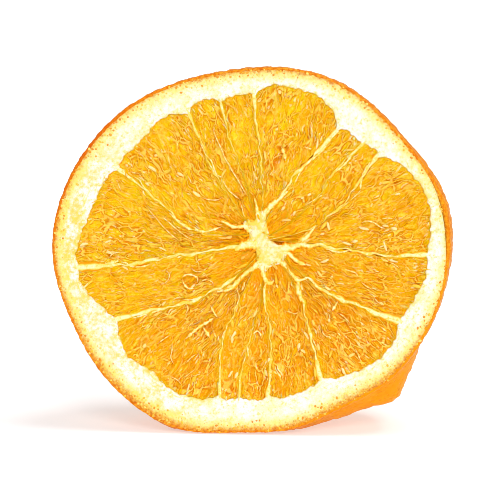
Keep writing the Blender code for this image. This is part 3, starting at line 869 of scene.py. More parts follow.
# Torn seams that cross the flesh between the membranes: half the width, then points (u, v)
VEINS = (
    (0.26, (-15.9, 7.1), (-14.9, 6.2), (-14.0, 5.3), (-12.8, 4.4), (-11.7, 3.8), (-10.4, 3.6),
     (-8.9, 3.3), (-7.4, 3.7), (-5.9, 4.2)),
    (0.10, (-19.8, 7.7), (-19.1, 6.9), (-18.3, 6.0), (-17.4, 4.9), (-16.2, 3.6), (-15.1, 2.6),
     (-13.9, 1.7)),
    (0.12, (-17.0, 6.0), (-16.0, 5.3), (-14.9, 4.3), (-13.8, 3.4), (-12.6, 2.5), (-11.3, 1.7)),
    (0.16, (-9.9, 19.9), (-9.3, 18.8), (-8.8, 17.7), (-7.8, 16.6), (-7.2, 15.1), (-6.7, 14.0),
     (-5.5, 13.4)),
    (0.13, (-7.5, 22.7), (-7.1, 21.4), (-6.5, 20.1), (-5.8, 18.6), (-5.2, 17.1), (-4.4, 15.8),
     (-3.7, 14.5), (-2.7, 13.0), (-2.0, 11.7), (-1.2, 10.4)),
    (0.14, (-2.3, 8.8), (-1.9, 7.6), (-1.6, 6.5), (-1.0, 5.6)),
    (0.12, (-5.7, 13.0), (-5.0, 11.9), (-4.4, 11.0), (-3.3, 10.1), (-2.3, 9.3)),
    (0.12, (-9.3, 9.6), (-8.0, 9.3), (-6.6, 9.3), (-5.7, 9.8)),
    (0.36, (5.3, 19.3), (5.7, 18.5), (6.0, 17.6), (6.1, 16.7)),
    (0.13, (-22.5, 13.6), (-21.3, 12.9), (-20.6, 11.8), (-19.5, 11.0), (-18.7, 10.9)),
    (0.10, (-25.5, 12.7), (-25.1, 11.7), (-24.7, 10.8)),
    (0.28, (15.3, 22.5), (14.4, 20.8), (13.3, 19.1), (12.0, 17.8), (10.9, 16.7)),
    (0.15, (10.5, 16.3), (9.4, 15.4), (8.7, 14.3), (8.1, 13.0), (7.4, 11.8)),
    (0.24, (19.5, 19.0), (18.5, 17.9), (17.4, 16.4), (16.3, 15.4), (15.2, 14.5)),
    (0.26, (22.5, 17.0), (21.5, 15.9), (20.8, 14.7), (20.3, 13.2), (20.1, 11.4)),
    (0.13, (20.3, 11.4), (19.2, 10.3), (17.9, 9.1), (16.6, 8.0), (15.5, 7.2), (14.2, 6.5), (13.0, 5.9)),
    (0.11, (9.7, 8.3), (11.0, 9.1), (12.1, 9.8), (13.4, 10.6)),
    (0.15, (20.3, 5.2), (21.4, 5.6), (22.7, 5.3), (23.9, 4.5), (24.8, 4.2)),
    (0.14, (24.2, 6.0), (25.3, 6.2), (26.3, 6.0)),
    (0.20, (12.9, 0.9), (14.2, 0.3), (15.7, -0.2), (17.0, -0.2), (18.5, 0.2)),
    (0.14, (17.0, -3.4), (18.2, -3.7), (19.3, -4.1), (20.0, -5.0)),
    (0.12, (20.4, -5.8), (21.3, -6.5), (22.5, -7.2)),
    (0.10, (22.7, -8.4), (23.2, -9.1), (24.0, -10.0)),
    (0.12, (25.4, -2.0), (26.3, -2.3), (27.5, -3.1)),
    (0.30, (16.1, -9.4), (15.6, -10.3), (14.9, -11.4)),
    (0.12, (16.0, -11.6), (17.1, -12.2), (18.4, -13.5)),
    (0.12, (13.0, -14.8), (13.8, -15.9), (14.9, -16.1)),
    (0.13, (19.4, -18.3), (20.0, -19.4), (20.5, -20.7)),
    (0.13, (-2.6, -6.4), (-2.8, -7.5), (-2.4, -8.7), (-2.6, -9.8), (-3.0, -10.7), (-3.5, -11.7)),
    (0.20, (-13.3, -5.4), (-12.4, -4.8), (-11.3, -4.8), (-10.3, -5.4), (-10.3, -6.3)),
    (0.22, (-13.2, -5.6), (-12.8, -6.5), (-12.0, -7.3), (-10.9, -7.4)),
    (0.11, (-9.9, -6.3), (-8.8, -5.7), (-7.5, -6.1), (-7.3, -7.0)),
    (0.10, (-11.5, -3.5), (-10.5, -4.2), (-9.2, -4.0), (-8.3, -3.3)),
    (0.11, (-16.4, -3.9), (-15.6, -4.7), (-15.8, -5.8), (-16.7, -6.6)),
    (0.22, (-7.9, -10.4), (-7.3, -11.5), (-6.5, -12.8)),
    (0.30, (-7.1, -12.8), (-8.2, -13.6), (-9.3, -14.2), (-10.5, -15.1), (-11.6, -16.1), (-12.5, -16.9)),
    (0.34, (-9.2, -14.6), (-8.4, -15.7), (-7.8, -16.8)),
    (0.22, (-7.3, -15.1), (-6.7, -16.6)),
    (0.14, (-4.6, -13.6), (-4.8, -14.9), (-5.4, -16.0), (-5.4, -17.3)),
    (0.18, (-0.1, -16.5), (0.3, -15.8), (1.0, -15.2), (1.6, -15.7), (1.8, -16.7)),
    (0.20, (-0.7, -17.6), (-0.7, -19.0), (-0.5, -20.3)),
    (0.22, (3.5, -21.9), (3.7, -23.2), (3.9, -24.3), (3.5, -25.9), (3.2, -27.4)),
    (0.12, (-15.0, -17.5), (-15.0, -19.0), (-15.2, -20.3), (-14.8, -21.6)),
    (0.12, (-17.8, -17.9), (-16.5, -16.9), (-15.4, -16.2)),
    (0.12, (-12.5, -21.6), (-11.4, -20.4), (-10.4, -19.7)),
    (0.10, (-15.5, -23.9), (-14.0, -24.6), (-13.1, -25.7)),
    (0.10, (-13.1, -24.4), (-11.7, -23.4), (-10.6, -22.5)),
    (0.42, (-31.7, -3.7), (-30.2, -3.5), (-28.7, -3.3), (-27.2, -2.9), (-25.8, -2.5), (-24.7, -2.3)),
    (0.16, (-25.3, -2.5), (-23.7, -2.7), (-22.8, -3.3), (-21.5, -3.4), (-20.0, -3.2), (-19.0, -2.7)),
    (0.10, (-27.2, -2.0), (-26.2, -1.0), (-24.9, -0.7), (-23.6, -0.8)),
    (0.16, (-19.4, -1.9), (-17.7, -1.7), (-15.8, -1.7), (-13.9, -1.5), (-12.8, -1.1)),
    (0.24, (-23.7, -12.7), (-22.2, -12.9), (-20.9, -12.6), (-19.5, -12.1), (-18.0, -11.7), (-16.7, -11.1)),
    (0.18, (-13.1, -9.4), (-11.6, -9.5), (-10.1, -9.1), (-8.8, -8.4)),
    (0.13, (-13.1, -9.5), (-12.4, -10.3), (-12.0, -11.2), (-12.6, -12.4)),
    (0.12, (11.1, -15.8), (11.7, -17.1), (12.3, -18.4)),
    (0.10, (6.1, -11.4), (7.0, -11.5), (8.1, -11.9), (9.1, -11.3)),
)
VEIN_WAVES = ((0.35, 5.1, 2.1), (0.25, 11.3, 1.0))
VEIN_RISE, VEIN_RISE_WAVES, VEIN_TINT_WAVES = 0.22, ((0.1, 2.3, 1.3),), ((0.2, 3.7, 1.0),)
VEIN_TAPER, VEIN_END = 0.8, 0.12
VEIN_END_DROP, VEIN_TINT = 0.3, 0.1
BLADE_STEPS, ARM_STEPS, VEIN_STEPS, OUTLINE_STEPS = 190, 12, 10, 8
PAST_WALL, BLADE_SIDE = 1.2, 0.3
# Half a blade's section, from its foot to its crest: (share of its half width, depth)
BLADE_SKIRT = ((-2.6, 2.4), (-2.0, 1.0), (-1.45, 0.34), (-0.85, 0.1), (-0.35, 0.0), (0.0, 0.03))
ARM_SKIRT = ((-1.6, 2.4), (-1.4, 1.0), (-1.15, 0.4), (-0.8, 0.14), (-0.4, 0.03), (0.0, 0.0))
CORE_ROUGHNESS, CORE_GRAIN = 0.0004, 0.0022

MEMBRANE_PALE, MEMBRANE_YELLOW, MEMBRANE_JUICY = (250, 238, 176), (250, 210, 76), (250, 200, 60)
MEMBRANE_WHITE, MEMBRANE_FLANK_SHADE, MEMBRANE_FOOT_SHADE = (252, 246, 206), (253, 214, 66), (248, 160, 0)
MEMBRANE_LOST = (240, 166, 0)


def start_point(i, s):
    """Where the path at share s of segment i leaves the core."""
    first, last = membrane(i), membrane(i + 1)
    core_angle = first[1] + (last[1] - first[1]) * s
    return np.array([CORE_U, CORE_V]) + CORE_RADIUS * turn(core_angle)


def waves(table, at, k):
    """The sum of a table's waves this far along the k-th piece."""
    return sum(size * np.sin(pace * at + step * k) for size, pace, step in table)


def flesh_point(i, s, r):
    """The point of segment i at a share s across it and r out along it, from the core to the wall."""
    first, last = membrane(i), membrane(i + 1)
    start = start_point(i, s)
    way = lobe_edge(i, s) - start
    length = np.linalg.norm(way, axis=-1)
    left = np.stack([-way[..., 1], way[..., 0]], axis=-1) / length[..., None]
    bow = first[2] + (last[2] - first[2]) * s
    bow = bow + MEMBRANE_WAVE * np.sin(WAVE_TURN * r + WAVE_STEP * (i + s))
    twist = first[3] + (last[3] - first[3]) * s
    aside = bow * np.sin(math.pi * r) + twist * np.sin(2 * math.pi * r)
    aside = aside + waves(WOBBLES, r * length, i + s) * np.sin(math.pi * np.clip(r, 0, 1))
    return start + way * r[..., None] + aside[..., None] * left


def segment_width(i, r):
    """The width of segment i from membrane to membrane, r out along it."""
    across = flesh_point(i, np.ones_like(r), r) - flesh_point(i, np.zeros_like(r), r)
    return np.linalg.norm(across, axis=-1)


def segment_length(i, s):
    """The length of segment i from the core to the wall at share s."""
    return np.linalg.norm(lobe_edge(i, s) - start_point(i, s), axis=-1)


def fading(i, r):
    """How clearly membrane i shows, r out along it: the weak ones are lost in the flesh further in,
    and the others where an arm of the star takes their place."""
    strength, clear = membrane(i)[5:]
    lost = LOST * (1 - min(strength, 1.0)) * np.exp(-((r / LOST_REACH) ** 2))
    return np.clip(np.minimum(1 - lost, 1 + (r - clear) / CLEARING), LEAST_SHOWN, 1)


def half_membrane(i, r):
    """Half the thickness of membrane i, r out along it: uneven, and thicker towards the wall."""
    strength, uneven = membrane(i)[5], 1 + waves(MEMBRANE_WAVES, r, i % len(MEMBRANES))
    thin = THIN_MEMBRANE + STRONG_MEMBRANE * strength
    flare = FLARE * strength * np.exp(-np.abs(1 - r) * FLARE_LENGTH / FLARE_REACH)
    return (thin * uneven + flare) * fading(i, r)


def tip(i, q):
    """How far out the flesh of segment i starts at a share q of its width: a rounded end."""
    length = segment_length(i, q)
    start = (TIPS[i % len(TIPS)] - CORE_RADIUS) / length
    for away in (q, 1 - q):
        reach = np.clip(1 - 2 * away, 0, 1)
        start = start + TIP_NOTCH / length * (1 - np.sqrt(1 - reach**2))
    return start


def segment_point(i, q, p):
    """The point of segment i's flesh at a share q from foot to foot and p from its tip to the wall,
    with its share across and its way out in the terms of flesh_point(), and the width there."""
    start = tip(i, q)
    r = start + p * (1 - start)
    width = segment_width(i, r)
    feet = [FOOT_COVERED * half_membrane(k, r) / width for k in (i, i + 1)]
    first, last = (np.minimum(WIDEST_FOOT, foot) for foot in feet)
    s = first + q * (1 - first - last)
    return flesh_point(i, s, r), s, r, width


def membrane_sag(i, r):
    """How deep the edge of membrane i lies, r out along it: the weak ones hang lower."""
    weak = 1 - min(membrane(i)[5], 1.0)
    inside = np.clip(np.sin(math.pi * np.clip(r, 0, 1)), 0, 1)
    wave = SAG_WAVE * (1 + np.sin(SAG_PACE * r + i)) * inside
    return LEAST_SAG + (SAG + WEAK_SAG * weak) * np.sqrt(inside) + wave


def smooth_line(knots, steps, closed=False):
    """A smooth line through the knots, with this many steps from each to the next."""
    p = np.asarray(knots, float)
    if closed:
        p = np.vstack([p[-1], p, p[:2]])
    else:
        p = np.vstack([2 * p[0] - p[1], p, 2 * p[-1] - p[-2]])
    t = np.arange(steps)[:, None] / steps
    spans = []
    for a, b, c, d in zip(p, p[1:], p[2:], p[3:]):
        bend = (2 * a - 5 * b + 4 * c - d) * t**2 + (3 * b - a - 3 * c + d) * t**3
        spans.append(b + ((c - a) * t + bend) / 2)
    if not closed:
        spans.append(p[-2:-1])
    return np.vstack(spans)


def build_core():
    """The middle of the star as one closed body: rings from its middle to its outline, then down."""
    outline = smooth_line(CORE_OUTLINE, OUTLINE_STEPS, closed=True)
    middle, count = np.array(CORE_MIDDLE), len(outline)
    reach = np.linalg.norm(outline - middle, axis=1)
    rings, top, yellow = [], [np.ones(1)], [np.full(1, CORE_YELLOW)]
    for k in range(1, CORE_RINGS + 1):
        share = (k / CORE_RINGS) ** CORE_EVENNESS
        lip = np.clip(1 - (1 - share) * reach / CORE_LIP, 0, 1)
        rings.append(on_face(middle + (outline - middle) * share, CORE_TOP + CORE_LIP_DROP * lip**2))
        top.append(np.ones(count))
        yellow.append(np.full(count, CORE_YELLOW * (1 + share**3)))
    for outward, depth in CORE_SIDE:
        away = (outline - middle) / reach[:, None]
        rings.append(on_face(outline + away * outward, np.full(count, depth)))
        top.append(np.zeros(count))
        yellow.append(np.full(count, CORE_EDGE_YELLOW))
    front, back = (on_face(middle[None], np.array([depth])) for depth in (CORE_TOP, CORE_BACK))
    points = stand(np.vstack([front, *rings, back]))
    faces = pole_faces(0, 1, count, True) + ring_faces(len(rings), count, 1)
    faces += pole_faces(len(points) - 1, 1 + (len(rings) - 1) * count, count, False)
    top = np.concatenate([*top, np.zeros(1)])
    yellow = np.concatenate([*yellow, np.full(1, CORE_EDGE_YELLOW)])
    return mesh_object("core", points, faces, {
        "top": top, "from_rim": 20 + 0 * top, "yellow": yellow, "side": 1 - top})


def blade(line, half, depth, skirt, base):
    """A closed blade along a line on the face, with half its width and the depth of its edge at
    each point: its points, how far each is on its side, and its faces numbered from base."""
    ahead = np.gradient(line, axis=0)
    ahead = ahead / np.linalg.norm(ahead, axis=1)[:, None]
    left = np.stack([-ahead[:, 1], ahead[:, 0]], axis=1)
    section = skirt + tuple((-x, down) for x, down in skirt[-2::-1])
    rings = [on_face(line + left * (half * x)[:, None], depth + down) for x, down in section]
    count = len(section)
    faces = [face[::-1] for face in ring_faces(len(line), count, base)]
    faces.append([base + k for k in range(count)])
    faces.append([base + (len(line) - 1) * count + k for k in range(count)][::-1])
    side = np.tile([min(1.0, down / BLADE_SIDE) for x, down in section], len(line))
    return np.stack(rings, axis=1).reshape(-1, 3), side, faces


def blades_object(name, blades):
    """Blades as one mesh, each given as (line, half its width, depth of its edge, skirt, tint)."""
    points, faces, yellow, sides, base = [], [], [], [], 0
    for line, half, depth, skirt, tint in blades:
        made, side, made_faces = blade(line, half, depth, skirt, base)
        points.append(made)
        sides.append(side)
        faces += made_faces
        yellow.append(np.repeat(tint, len(made) // len(line)))
        base += len(made)
    attributes = {"yellow": np.concatenate(yellow), "side": np.concatenate(sides)}
    return mesh_object(name, stand(np.vstack(points)), faces, attributes)


def membrane_blade(i):
    """Membrane i, from the tip of its segment to just inside the pith."""
    strength, length = membrane(i)[5], float(segment_length(i, np.array(0.0)))
    r = np.linspace((TIPS[i] - CORE_RADIUS) / length, 1 + PAST_WALL / length, BLADE_STEPS)
    inside = np.sin(math.pi * np.clip(r, 0, 1))
    thin = np.clip(THINNESS - STRONG_THINNESS * strength - END_THINNESS * (1 - inside), 0, 1)
    thin = thin + 1 - fading(i, r)
    line = flesh_point(i, np.zeros_like(r), r)
    return line, half_membrane(i, r), membrane_sag(i, r), BLADE_SKIRT, thin


def way_along(line):
    """How far along a line each of its points lies."""
    return np.cumsum(np.linalg.norm(np.diff(line, axis=0, prepend=line[:1]), axis=1))


def arm_blade(k):
    """Arm k of the star, lumpy along its length and yellower towards its end."""
    line = smooth_line(CORE_ARMS[k], ARM_STEPS)
    way = way_along(line[:, :2])
    half = line[:, 2] * (ARM_WIDTH + waves(ARM_WAVES, way, k))
    return line[:, :2], half, ARM_RISE + waves(ARM_RISE_WAVES, way, k), ARM_SKIRT, 0.5 * way / way[-1]


def vein_blade(k):
    """Torn seam k, uneven in width, thin and yellower at its ends."""
    half, *knots = VEINS[k]
    line = smooth_line(knots, VEIN_STEPS)
    way = way_along(line)
    ends = np.clip(np.minimum(way, way[-1] - way) / VEIN_TAPER, VEIN_END, 1)
    half = half * (1 + waves(VEIN_WAVES, way, k)) * ends
    dropped = VEIN_END_DROP * (1 - ends)
    rise = VEIN_RISE + waves(VEIN_RISE_WAVES, way, k) + dropped
    tint = VEIN_TINT + dropped + waves(VEIN_TINT_WAVES, way, k)
    return line, half, rise, ARM_SKIRT, tint


def membrane_material():
    """Thin skin between the segments: nearly white where it is thick, yellow with juice where thin, with
    painted warm shade down its flanks, orange at the foot.
    """
    made, tree, shader = new_material("membrane")
    place, side, yellow = own_place(tree), value_at(tree, "side"), value_at(tree, "yellow")
    thin = plus(tree, yellow, span_of(tree, noise_of(tree, place, 420.0, 3.0, 0.6), 0.3, 0.7, -0.4, 0.5))
    fine = noise_of(tree, place, 1500.0, 3.0, 0.7)
    colour = painted(tree, mix_of(tree, thin, MEMBRANE_PALE, MEMBRANE_YELLOW), (
        (span_of(tree, fine, 0.5, 0.64, 0.0, 0.8), MEMBRANE_JUICY),
        (span_of(tree, fine, 0.46, 0.36, 0.0, 0.7), MEMBRANE_WHITE),
        # Painted warm shade down the flanks, deepening to orange at the foot
        (span_of(tree, side, 0.0, 0.33, 0.0, 0.75), MEMBRANE_FLANK_SHADE),
        (span_of(tree, side, 0.25, 0.7), MEMBRANE_FOOT_SHADE),
        (span_of(tree, yellow, 1.1, 1.6), MEMBRANE_LOST),
    ))
    fill(tree, shader, (
        ("Base Color", colour),
        ("Roughness", 0.4),
        ("Specular IOR Level", 0.2),
        ("Normal", bump_of(tree, fine, 0.8, 0.0002)),
    ))
    return made


core = worked(build_core(), spongy, {
    "Roughness": CORE_ROUGHNESS,
    "Grain": CORE_GRAIN,
    "Material": cut_pith,
})
membrane_skin = membrane_material()
membranes = blades_object("membranes", [membrane_blade(i) for i in range(len(MEMBRANES))])
core_arms = blades_object("core_arms", [arm_blade(k) for k in range(len(CORE_ARMS))])
veins = blades_object("veins", [vein_blade(k) for k in range(len(VEINS))])
for piece in (membranes, core_arms, veins):
    piece.data.materials.append(membrane_skin)
for piece in (core, membranes, core_arms, veins):
    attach(piece, "root")
    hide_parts("orange_half")

# ---------------------------------------------------------------------------------------------
# The flesh: fifteen segments packed with long juice sacs, each sac a thin pale skin round orange
# juice. The cut has opened them and they have sunk as they dry, so their skins stand up as fine
# ridges. Each segment is a closed body; a Geometry Nodes tree works the sacs into its face.

FLESH_SINK, HOLLOW, HOLLOW_REACH, NARROW = 0.55, 1.0, 0.12, 3.0
FLESH_STEP, FLESH_BACK, MENISCUS = 0.13, 3.2, 0.9
SHADED_REACH, SHADED_NARROW = 0.2, 0.7
FIBRE_SPREAD, EDGE_LIP, EDGE_FADE = 0.25, 0.1, 0.3
BUSY_SCALE = 150.0
RICH_SWELLS, RICH_UNDER = ((262, 50, 0.65), (325, 34, 0.6), (25, 24, 0.25)), 0.5
SAC_WIDTH, SAC_LENGTH, SAC_WAVER = 1.6, 5.6, 1.2
SAC_RIDGE, SAC_HOLLOW = 0.00025, 0.0004
SAC_FINE, SAC_BROAD = 0.00012, 0.0009
# The cells of the sacs and of the torn skins over them: how many times finer across and along
WHOLE_SACS, TORN_SACS = (1.0, 1.0), (2.1, 2.6)
LAYER_STEP = 7.3

FLESH_GOLD, FLESH_YELLOW = (234, 169, 0), (241, 205, 2)
FLESH_LIGHT, FLESH_RICH = (250, 210, 24), (236, 153, 0)
STREAK_DEEP, STREAK_LIGHT, SAC_SKIN = (232, 142, 0), (254, 214, 80), (255, 216, 78)
CREASE_SHADE_ORANGE, THREAD_PALE, FLESH_SIDE_SHADE = (220, 118, 0), (255, 226, 100), (254, 178, 0)
PAINTED_GLINT, FLESH_SHADED, SPECK_BROWN = (255, 236, 170), (255, 170, 0), (176, 92, 0)


def waver_of(tree, place, scale, detail=2.0):
    """A noise of three numbers, each about 0, at this place."""
    inputs = [("Vector", place), ("Scale", scale), ("Detail", detail)]
    noise = node(tree, "ShaderNodeTexNoise", inputs).outputs["Color"]
    return vector_of(tree, "SUBTRACT", noise, (0.5, 0.5, 0.5))


def sac_relief():
    """A tree that shapes the juice sacs: cells stretched along the fibres, sunk between ridges of
    skin, with smaller torn cells over them. It stores how far each point is skin, and each sac's
    own tone."""
    labels = ("Sac Width", "Sac Length", "Ridge", "Hollow", "Waver", "Segment")
    tree, inputs = new_nodes_group("juice_sacs", labels)
    place, hollow = position(tree), inputs["Hollow"]
    waver = parts_of(tree, vector_of(tree, "SCALE", waver_of(tree, place, 420.0), inputs["Waver"]))
    across = plus(tree, attribute(tree, "across"), waver[0])
    along = times_plus(tree, waver[1], 1.5, attribute(tree, "along"))

    def sacs_of(finer, feature):
        u = times(tree, divided(tree, across, inputs["Sac Width"]), finer[0])
        v = times(tree, divided(tree, along, inputs["Sac Length"]), finer[1])
        layer = times_plus(tree, inputs["Segment"], LAYER_STEP, finer[0])
        return cells_of(tree, joined(tree, u, v, layer), 1.0, feature)

    both = (WHOLE_SACS, TORN_SACS)
    edge, small_edge = (sacs_of(finer, "DISTANCE_TO_EDGE")["Distance"] for finer in both)
    own, small_own = (parts_of(tree, sacs_of(finer, "F1")["Color"]) for finer in both)
    torn = span_of(tree, noise_of(tree, place, 330.0, 2.0, 0.5), 0.42, 0.6)
    skin = span_of(tree, edge, 0.02, 0.13, 1.0, 0.0)
    small_skin = times(tree, span_of(tree, small_edge, 0.03, 0.16, 1.0, 0.0), torn)
    ridge = math_of(tree, "MAXIMUM", skin, times(tree, small_skin, 0.7))
    level = times(tree, span_of(tree, edge, 0.0, 0.4), times_plus(tree, own[0], 1.6, -0.5))
    small_level = times(tree, small_own[1], times(tree, torn, hollow))
    deep = times_plus(tree, small_level, 0.7, times(tree, level, hollow))
    deep = times_plus(tree, ridge, times(tree, inputs["Ridge"], -1.0), deep)
    deep = times_plus(tree, noise_of(tree, place, 2300.0, 2.0, 0.6), SAC_FINE, deep)
    broad = minus(tree, noise_of(tree, place, 130.0, 2.0, 0.5), 0.5)
    deep = times(tree, times_plus(tree, broad, SAC_BROAD, deep), attribute(tree, "top"))
    sunk = [("Geometry", inputs["Geometry"]), ("Offset", into_fruit(tree, deep))]
    shape = node(tree, "GeometryNodeSetPosition", sunk).outputs[0]
    for label, value in (("skin", ridge), ("tone", own[1]), ("small_tone", small_own[2])):
        shape = store(tree, shape, label, value)
    finish_group(tree, shape, inputs)
    return tree


def fibre_detail():
    """A shader group for torn flesh, in millimetres across and along the fibres: streaks, thin
    pale threads, creases, wet glints and a few dark specks, with a height for bump."""
    made = ("Streak", "Thread", "Crease", "Glint", "Speck", "Height")
    tree, inputs = new_shader_group(
        "fibre_detail",
        (("Across", "Float"), ("Along", "Float"), ("Segment", "Float"), ("Place", "Vector")),
        [(label, "Float") for label in made])
    place = inputs["Place"]
    waver = parts_of(tree, waver_of(tree, place, 260.0, 4.0))
    across = times_plus(tree, waver[0], 2.4, inputs["Across"])
    along = times_plus(tree, waver[1], 4.0, inputs["Along"])

    def stretched(width, length, layer):
        u, v = divided(tree, across, width), divided(tree, along, length)
        return joined(tree, u, v, times_plus(tree, inputs["Segment"], LAYER_STEP, layer))

    def net(width, length, layer, line, where):
        edge = cells_of(tree, stretched(width, length, layer), 1.0, "DISTANCE_TO_EDGE")["Distance"]
        return [times(tree, span_of(tree, edge, near * line, far * line, 1.0, 0.0), where)
                for near, far in ((0.3, 1.0), (1.2, 2.6))]

    busy = span_of(tree, noise_of(tree, place, BUSY_SCALE, 2.0), 0.4, 0.58, 0.45, 1.0)
    streak = minus(tree, noise_of(tree, stretched(0.42, 2.4, 1.5), 1.0, 3.0, 0.65), 0.5)
    streak = times_plus(tree, streak, busy, 0.5)
    patch = noise_of(tree, place, 330.0, 3.0, 0.6)
    coarse = net(1.4, 3.2, 3.1, 0.08, span_of(tree, patch, 0.42, 0.52))
    fine = net(0.65, 1.7, 8.2, 0.12, span_of(tree, patch, 0.48, 0.38))
    # The creases are the bands beside the threads; the flesh paints them darker as shade
    thread, crease = (times(tree, math_of(tree, "MAXIMUM", *pair), busy) for pair in zip(coarse, fine))
    # Wet spots: the flesh paints them as pale glints and gives them a thin coat
    drops = cells_of(tree, stretched(0.5, 1.3, 5.7))
    wet = noise_of(tree, place, 240.0, 2.0, 0.5)
    wet = span_of(tree, wet, 0.35, 0.6, 0.9, 0.58, smooth=False)
    wet = math_of(tree, "GREATER_THAN", parts_of(tree, drops["Color"])[0], wet)
    glint = times(tree, span_of(tree, drops["Distance"], 0.16, 0.42, 1.0, 0.0), wet)
    glint = times(tree, glint, busy)
    darts = cells_of(tree, stretched(0.3, 1.2, 2.9))
    few = math_of(tree, "GREATER_THAN", parts_of(tree, darts["Color"])[1], 0.94)
    speck = times(tree, span_of(tree, darts["Distance"], 0.1, 0.36, 1.0, 0.0), few)
    height = times_plus(tree, thread, 0.2, streak)
    height = times_plus(tree, crease, -0.3, height)
    height = times_plus(tree, glint, 0.5, height)
    node(tree, "NodeGroupOutput", zip(made, (streak, thread, crease, glint, speck, height)))
    return tree


def flesh_material(detail):
    """Moist orange flesh: translucent juice between pale yellow skins, painted shade in the hollows, beside
    the membranes and in the creases, and painted glints on wet spots that also get a thin coat."""
    made, tree, shader = new_material("orange_flesh")
    place = own_place(tree)
    fibre = node(tree, "ShaderNodeGroup", node_tree=detail)
    fill(tree, fibre, [("Place", place)])
    fill(tree, fibre, [(name, value_at(tree, name.lower())) for name in ("Across", "Along", "Segment")])
    fibre = fibre.outputs
    cloud = span_of(tree, noise_of(tree, place, 260.0, 3.0, 0.6), 0.3, 0.7)
    blend = times_plus(tree, value_at(tree, "tone"), 0.45, times(tree, cloud, 0.55))
    fray = noise_of(tree, place, 1500.0, 3.0, 0.7)
    ridge = times(tree, value_at(tree, "skin"), span_of(tree, fray, 0.42, 0.62, 0.0, 0.75))
    from_edge = times_plus(tree, fray, 0.9, value_at(tree, "edge"))
    colour = painted(tree, mix_of(tree, blend, FLESH_GOLD, FLESH_YELLOW), (
        (span_of(tree, value_at(tree, "small_tone"), 0.7, 1.0, 0.0, 0.5), FLESH_LIGHT),
        (value_at(tree, "rich"), FLESH_RICH),
        (span_of(tree, fibre["Streak"], 0.47, 0.34, 0.0, 0.55), STREAK_DEEP),
        (span_of(tree, fibre["Streak"], 0.55, 0.66, 0.0, 0.65), STREAK_LIGHT),
        (ridge, SAC_SKIN),
        # Painted shade in the creases beside the threads
        (times(tree, fibre["Crease"], 0.75), CREASE_SHADE_ORANGE),
        (times(tree, fibre["Thread"], 0.8), THREAD_PALE),
        # Painted warm shade in a band beside the membranes and the wall, where their shadow falls
        (span_of(tree, from_edge, 1.1, 0.5, 0.0, 0.5), FLESH_SIDE_SHADE),
        # Painted highlights: pale glints on the wet spots
        (times(tree, fibre["Glint"], 0.9), PAINTED_GLINT),
        # Painted warm shade near the core and in narrow wedges, where the hollows lie in shade
        (span_of(tree, value_at(tree, "shaded"), 0.15, 0.75, 0.0, 0.8), FLESH_SHADED),
        (times(tree, fibre["Speck"], 0.7), SPECK_BROWN),
    ))
    fill(tree, shader, (
        ("Base Color", colour),
        ("Roughness", span_of(tree, fray, 0.3, 0.7, 0.16, 0.4)),
        ("Specular IOR Level", 0.06),
        ("Subsurface Weight", 0.7),
        ("Subsurface Radius", (1.0, 0.35, 0.04)),
        ("Subsurface Scale", 0.0009),
        ("Coat Weight", times(tree, fibre["Glint"], 0.2)),
        ("Coat Roughness", 0.1),
        ("Normal", bump_of(tree, fibre["Height"], 0.85, 0.00028)),
    ))
    return made


def segment_faces(rows, columns):
    """The faces of a grid closed by its sides and a plain back: the faces, and the grid's points
    that the back repeats, going round."""
    index = np.arange((rows + 1) * (columns + 1)).reshape(rows + 1, columns + 1)
    corners = [index[:-1, :-1], index[1:, :-1], index[1:, 1:], index[:-1, 1:]]
    faces = np.stack(corners, axis=-1).reshape(-1, 4).tolist()
    loop = np.concatenate([index[:-1, 0], index[-1, :-1], index[:0:-1, -1], index[0, :0:-1]]).tolist()
    low = {top: index.size + k for k, top in enumerate(loop)}
    faces += [[n, m, low[m], low[n]] for m, n in zip(loop, loop[1:] + loop[:1])]
    left, right = ([low[k] for k in side] for side in (index[:, 0].tolist(), index[:, -1].tolist()))
    faces += [list(quad) for quad in zip(left, right, right[1:], left[1:])]
    wall_end, core_end = ([low[k] for k in row] for row in (index[-1].tolist(), index[0].tolist()))
    faces.append([wall_end[0]] + wall_end[:0:-1])
    faces.append([core_end[-1]] + core_end[:-1])
    return faces, loop


